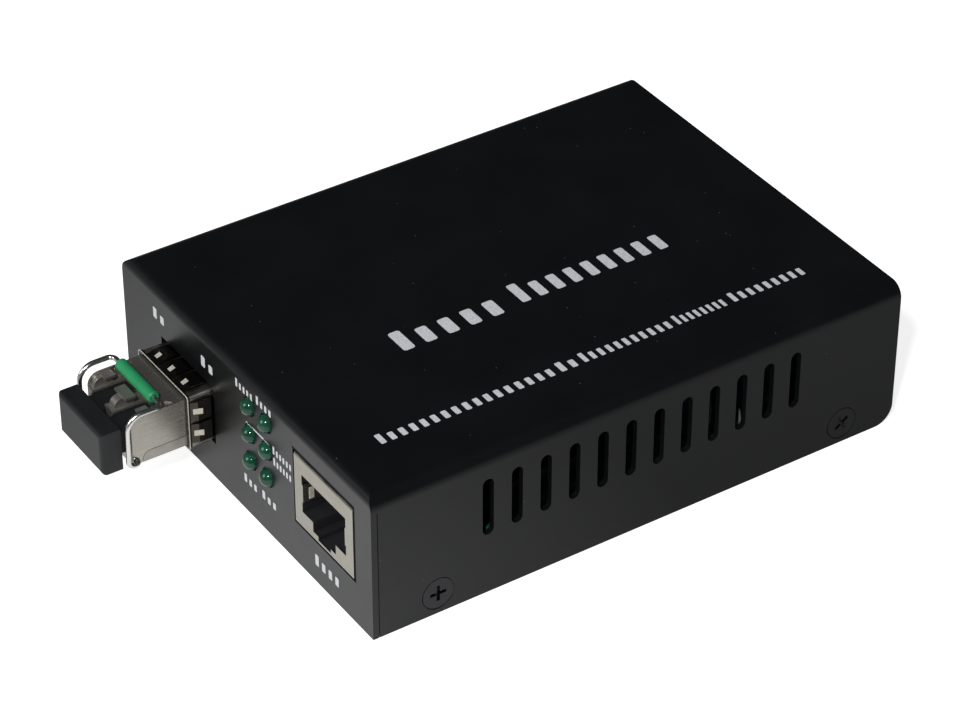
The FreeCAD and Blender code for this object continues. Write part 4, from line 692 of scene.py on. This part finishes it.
def side_spring():
    """The jack's side spring: a leaf along the wall and the rubbed pad that presses on the plug."""
    low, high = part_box("rj45_shield")
    wall = low.x + JACK_WALL_IN
    height = high.z - SPRING_DOWN
    leaf = plate((wall + LEAF_T / 2, FRONT + SPRING_IN + LEAF_L / 2, height), (LEAF_T, LEAF_L, SPRING_W),
                 LEAF_ROUND)
    pad = plate((wall + PAD_T / 2, FRONT + SPRING_IN + LEAF_L + PAD_L / 2, height - PAD_DROP),
                (PAD_T, PAD_L, SPRING_W), PAD_ROUND)
    settle(join([leaf, pad]), "jack_side_spring", tin_and_painted_glint, "chassis")


def jack_gap_shadow():
    """Painted shadow: a near-black strip on the panel, in the gap above the jack and beside it."""
    low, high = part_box("rj45_shield")
    left, right = low.x - CUT_SIDE, high.x + CUT_SIDE
    bottom, top = high.z - JACK_H - CUT_BOTTOM, high.z + CUT_TOP
    y = FRONT - GAP_SHADOW_T / 2
    above = plate(((left + right) / 2, y, top + GAP_SHADOW_W / 2),
                  (right - left + GAP_SHADOW_W, GAP_SHADOW_T, GAP_SHADOW_W), GAP_SHADOW_ROUND)
    beside = plate((right + GAP_SHADOW_W / 2, y, (bottom + top) / 2), (GAP_SHADOW_W, GAP_SHADOW_T, top - bottom),
                   GAP_SHADOW_ROUND)
    settle(join([above, beside]), "jack_gap_shadow", gap_shadow_paint, "chassis")


side_spring()
jack_gap_shadow()


# ---------------------------------------------------------------- pin ends behind the vents

PIN_END_R = 0.4 * MM
PIN_ENDS_IN = 0.5 * MM         # in from the board's edge
# each pin end, in millimetres: y and height above the board
PIN_ENDS = [(9.2, 1.5), (9.9, 1.9), (14.4, 1.7), (15.1, 1.2), (19.4, 4.6), (20.0, 2.2), (29.3, 1.6),
            (30.0, 2.1)]


def solder_beads():
    """Tinned pin ends standing out of the board beside the capacitors, seen through the slots."""
    beads = []
    for y, height in PIN_ENDS:
        place = (BOARD_EDGE - PIN_ENDS_IN, y * MM, BOARD_TOP)
        deselect()
        bpy.ops.mesh.primitive_uv_sphere_add(segments=16, ring_count=8, radius=PIN_END_R, location=place)
        beads.append(bpy.context.active_object)
        begin_edit()
        bpy.ops.transform.resize(value=(1, 1, height * MM / PIN_END_R), center_override=place)
        bpy.ops.mesh.bisect(plane_co=place, plane_no=(0, 0, 1), clear_inner=True, use_fill=True)
        end_edit()
        smooth()
    settle(join(beads), "solder_beads", tin_and_painted_glint, "chassis")


solder_beads()


# ---------------------------------------------------------------- bead round the cage's mouth

RIM_WIRE = 0.16 * MM           # thickness of the bead round the cage's mouth
RIM_GAP = 0.17 * MM            # cage to the inside of the bead
RIM_OUT = 0.12 * MM            # middle of the bead, forward of the cage's front edge
RIM_CORNER = 0.5 * MM
RIM_ROUND = 0.3 * RIM_WIRE


def runs_along_y(piece, edge):
    """Whether an edge of a piece runs into the case."""
    first, last = (piece.data.vertices[v].co for v in edge.vertices)
    return abs(first.y - last.y) > RIM_WIRE / 2


def collar_highlight_bead():
    """A rolled bead round the cage's mouth, in bright tin as a painted highlight along the lip: the four
    walls of a box, thickened and rounded.
    """
    low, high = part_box("sfp_cage")
    bottom, top = BOARD_TOP - RIM_GAP, high.z + RIM_GAP
    middle = ((low.x + high.x) / 2, low.y - RIM_OUT, (bottom + top) / 2)
    deselect()
    bpy.ops.mesh.primitive_cube_add(size=1, location=middle)
    bead = bpy.context.active_object
    begin_edit()
    bpy.ops.transform.resize(value=(high.x - low.x + 2 * RIM_GAP, RIM_WIRE, top - bottom))
    pick(bead, "FACE", lambda face: abs(face.normal.y) > 0.5)
    bpy.ops.mesh.delete(type="ONLY_FACE")
    pick(bead, "EDGE", lambda edge: runs_along_y(bead, edge))
    bpy.ops.mesh.bevel(offset=RIM_CORNER, segments=5)
    bpy.ops.mesh.select_mode(type="VERT")
    end_edit()
    thicken = bead.modifiers.new("thicken", "SOLIDIFY")
    thicken.thickness = RIM_WIRE
    thicken.offset = 1
    round_off = bead.modifiers.new("round_off", "BEVEL")
    round_off.width = RIM_ROUND
    round_off.segments = 2
    bpy.ops.object.modifier_apply(modifier=thicken.name)
    bpy.ops.object.modifier_apply(modifier=round_off.name)
    smooth(50)
    settle(bead, "collar_highlight_bead", tin_and_painted_glint, "chassis")


collar_highlight_bead()


# ---------------------------------------------------------------- floor, light, camera

FLOOR_R = 3.0
FLOOR_GREY = (0.6, 0.6, 0.6, 1)
FLOOR_GLOW = 0.85              # brings the floor to white for the eye
POOL_GLOW = 0.9                # what polished metal sees of it, before the front panel
POOL_PLACE = (0.025, -0.075, 0)
POOL_SIZE = (0.13, 0.085, 0.1)
LAMP_AIM = Vector((0, -0.01, 0.012))
STUDIO_TINT = (0.85, 0.93, 1, 1)
STUDIO_LEVEL = 0.045
CAMERA_PLACE = Vector((0.36624, -0.24642, 0.33457))
CAMERA_AIM = Vector((-0.00227, -0.00379, 0.00886))
CAMERA_LENS = 134.68


def floor_material():
    """Pale floor that takes the shadow: white to the eye, and a bright pool to polished metal."""
    material, tree, shader, place = new_material("pale_floor")
    tree.nodes.remove(shader)
    paint = tree.nodes.new("ShaderNodeBsdfDiffuse")
    paint.inputs["Color"].default_value = FLOOR_GREY
    glow = tree.nodes.new("ShaderNodeEmission")
    glow.inputs["Color"].default_value = (1, 1, 1, 1)
    rays = tree.nodes.new("ShaderNodeLightPath")
    seen = math_node(tree, "MAXIMUM", rays.outputs["Is Camera Ray"], rays.outputs["Is Transmission Ray"])
    seen = math_node(tree, "MULTIPLY", seen, FLOOR_GLOW)
    pool = tree.nodes.new("ShaderNodeMapping")
    pool.vector_type = "TEXTURE"
    pool.inputs["Location"].default_value = POOL_PLACE
    pool.inputs["Scale"].default_value = POOL_SIZE
    tree.links.new(place, pool.inputs["Vector"])
    fade = tree.nodes.new("ShaderNodeTexGradient")
    fade.gradient_type = "SPHERICAL"
    tree.links.new(pool.outputs["Vector"], fade.inputs["Vector"])
    mirrored = math_node(tree, "MULTIPLY", fade.outputs["Fac"], rays.outputs["Is Glossy Ray"])
    mirrored = math_node(tree, "MULTIPLY", mirrored, POOL_GLOW)
    tree.links.new(math_node(tree, "ADD", seen, mirrored), glow.inputs["Strength"])
    both = tree.nodes.new("ShaderNodeAddShader")
    tree.links.new(paint.outputs["BSDF"], both.inputs[0])
    tree.links.new(glow.outputs["Emission"], both.inputs[1])
    tree.links.new(both.outputs["Shader"], tree.nodes["Material Output"].inputs["Surface"])
    return material


def lay_floor():
    """The floor, which is no part of the object."""
    deselect()
    bpy.ops.mesh.primitive_circle_add(vertices=96, radius=FLOOR_R, fill_type="NGON", location=(0, 0, 0))
    floor = bpy.context.active_object
    floor.name = "floor"
    floor.data.materials.append(floor_material())


def soft_lamp(name, place, size, level):
    """A square soft box aimed at the object; level 1 lights a facing white surface to full white."""
    light = bpy.data.lights.new(name, "AREA")
    light.size = size
    place = Vector(place)
    light.energy = level * math.pi ** 2 * (place - LAMP_AIM).length_squared
    lamp = bpy.data.objects.new(name, light)
    lamp.location = place
    lamp.rotation_euler = (LAMP_AIM - place).to_track_quat("-Z", "Y").to_euler()
    bpy.context.scene.collection.objects.link(lamp)


def studio_air():
    """Faint light from all round."""
    world = bpy.data.worlds.new("studio")
    world.use_nodes = True
    backdrop = world.node_tree.nodes["Background"]
    backdrop.inputs["Color"].default_value = STUDIO_TINT
    backdrop.inputs["Strength"].default_value = STUDIO_LEVEL
    bpy.context.scene.world = world


def set_camera():
    """The camera, which looks down on the front panel and the jack's side."""
    lens = bpy.data.cameras.new("camera")
    lens.lens = CAMERA_LENS
    lens.sensor_width = 36
    lens.clip_start = 0.01
    camera = bpy.data.objects.new("camera", lens)
    camera.location = CAMERA_PLACE
    camera.rotation_euler = (CAMERA_AIM - CAMERA_PLACE).to_track_quat("-Z", "Y").to_euler()
    bpy.context.scene.collection.objects.link(camera)
    bpy.context.scene.camera = camera


lay_floor()
soft_lamp("front_softbox", place=(-0.2, -0.75, 0.42), size=0.4, level=0.42)
soft_lamp("high_spot", place=(0.5, -0.5, 0.7), size=0.08, level=0.78)
studio_air()
set_camera()
bpy.context.scene.view_settings.view_transform = "Standard"
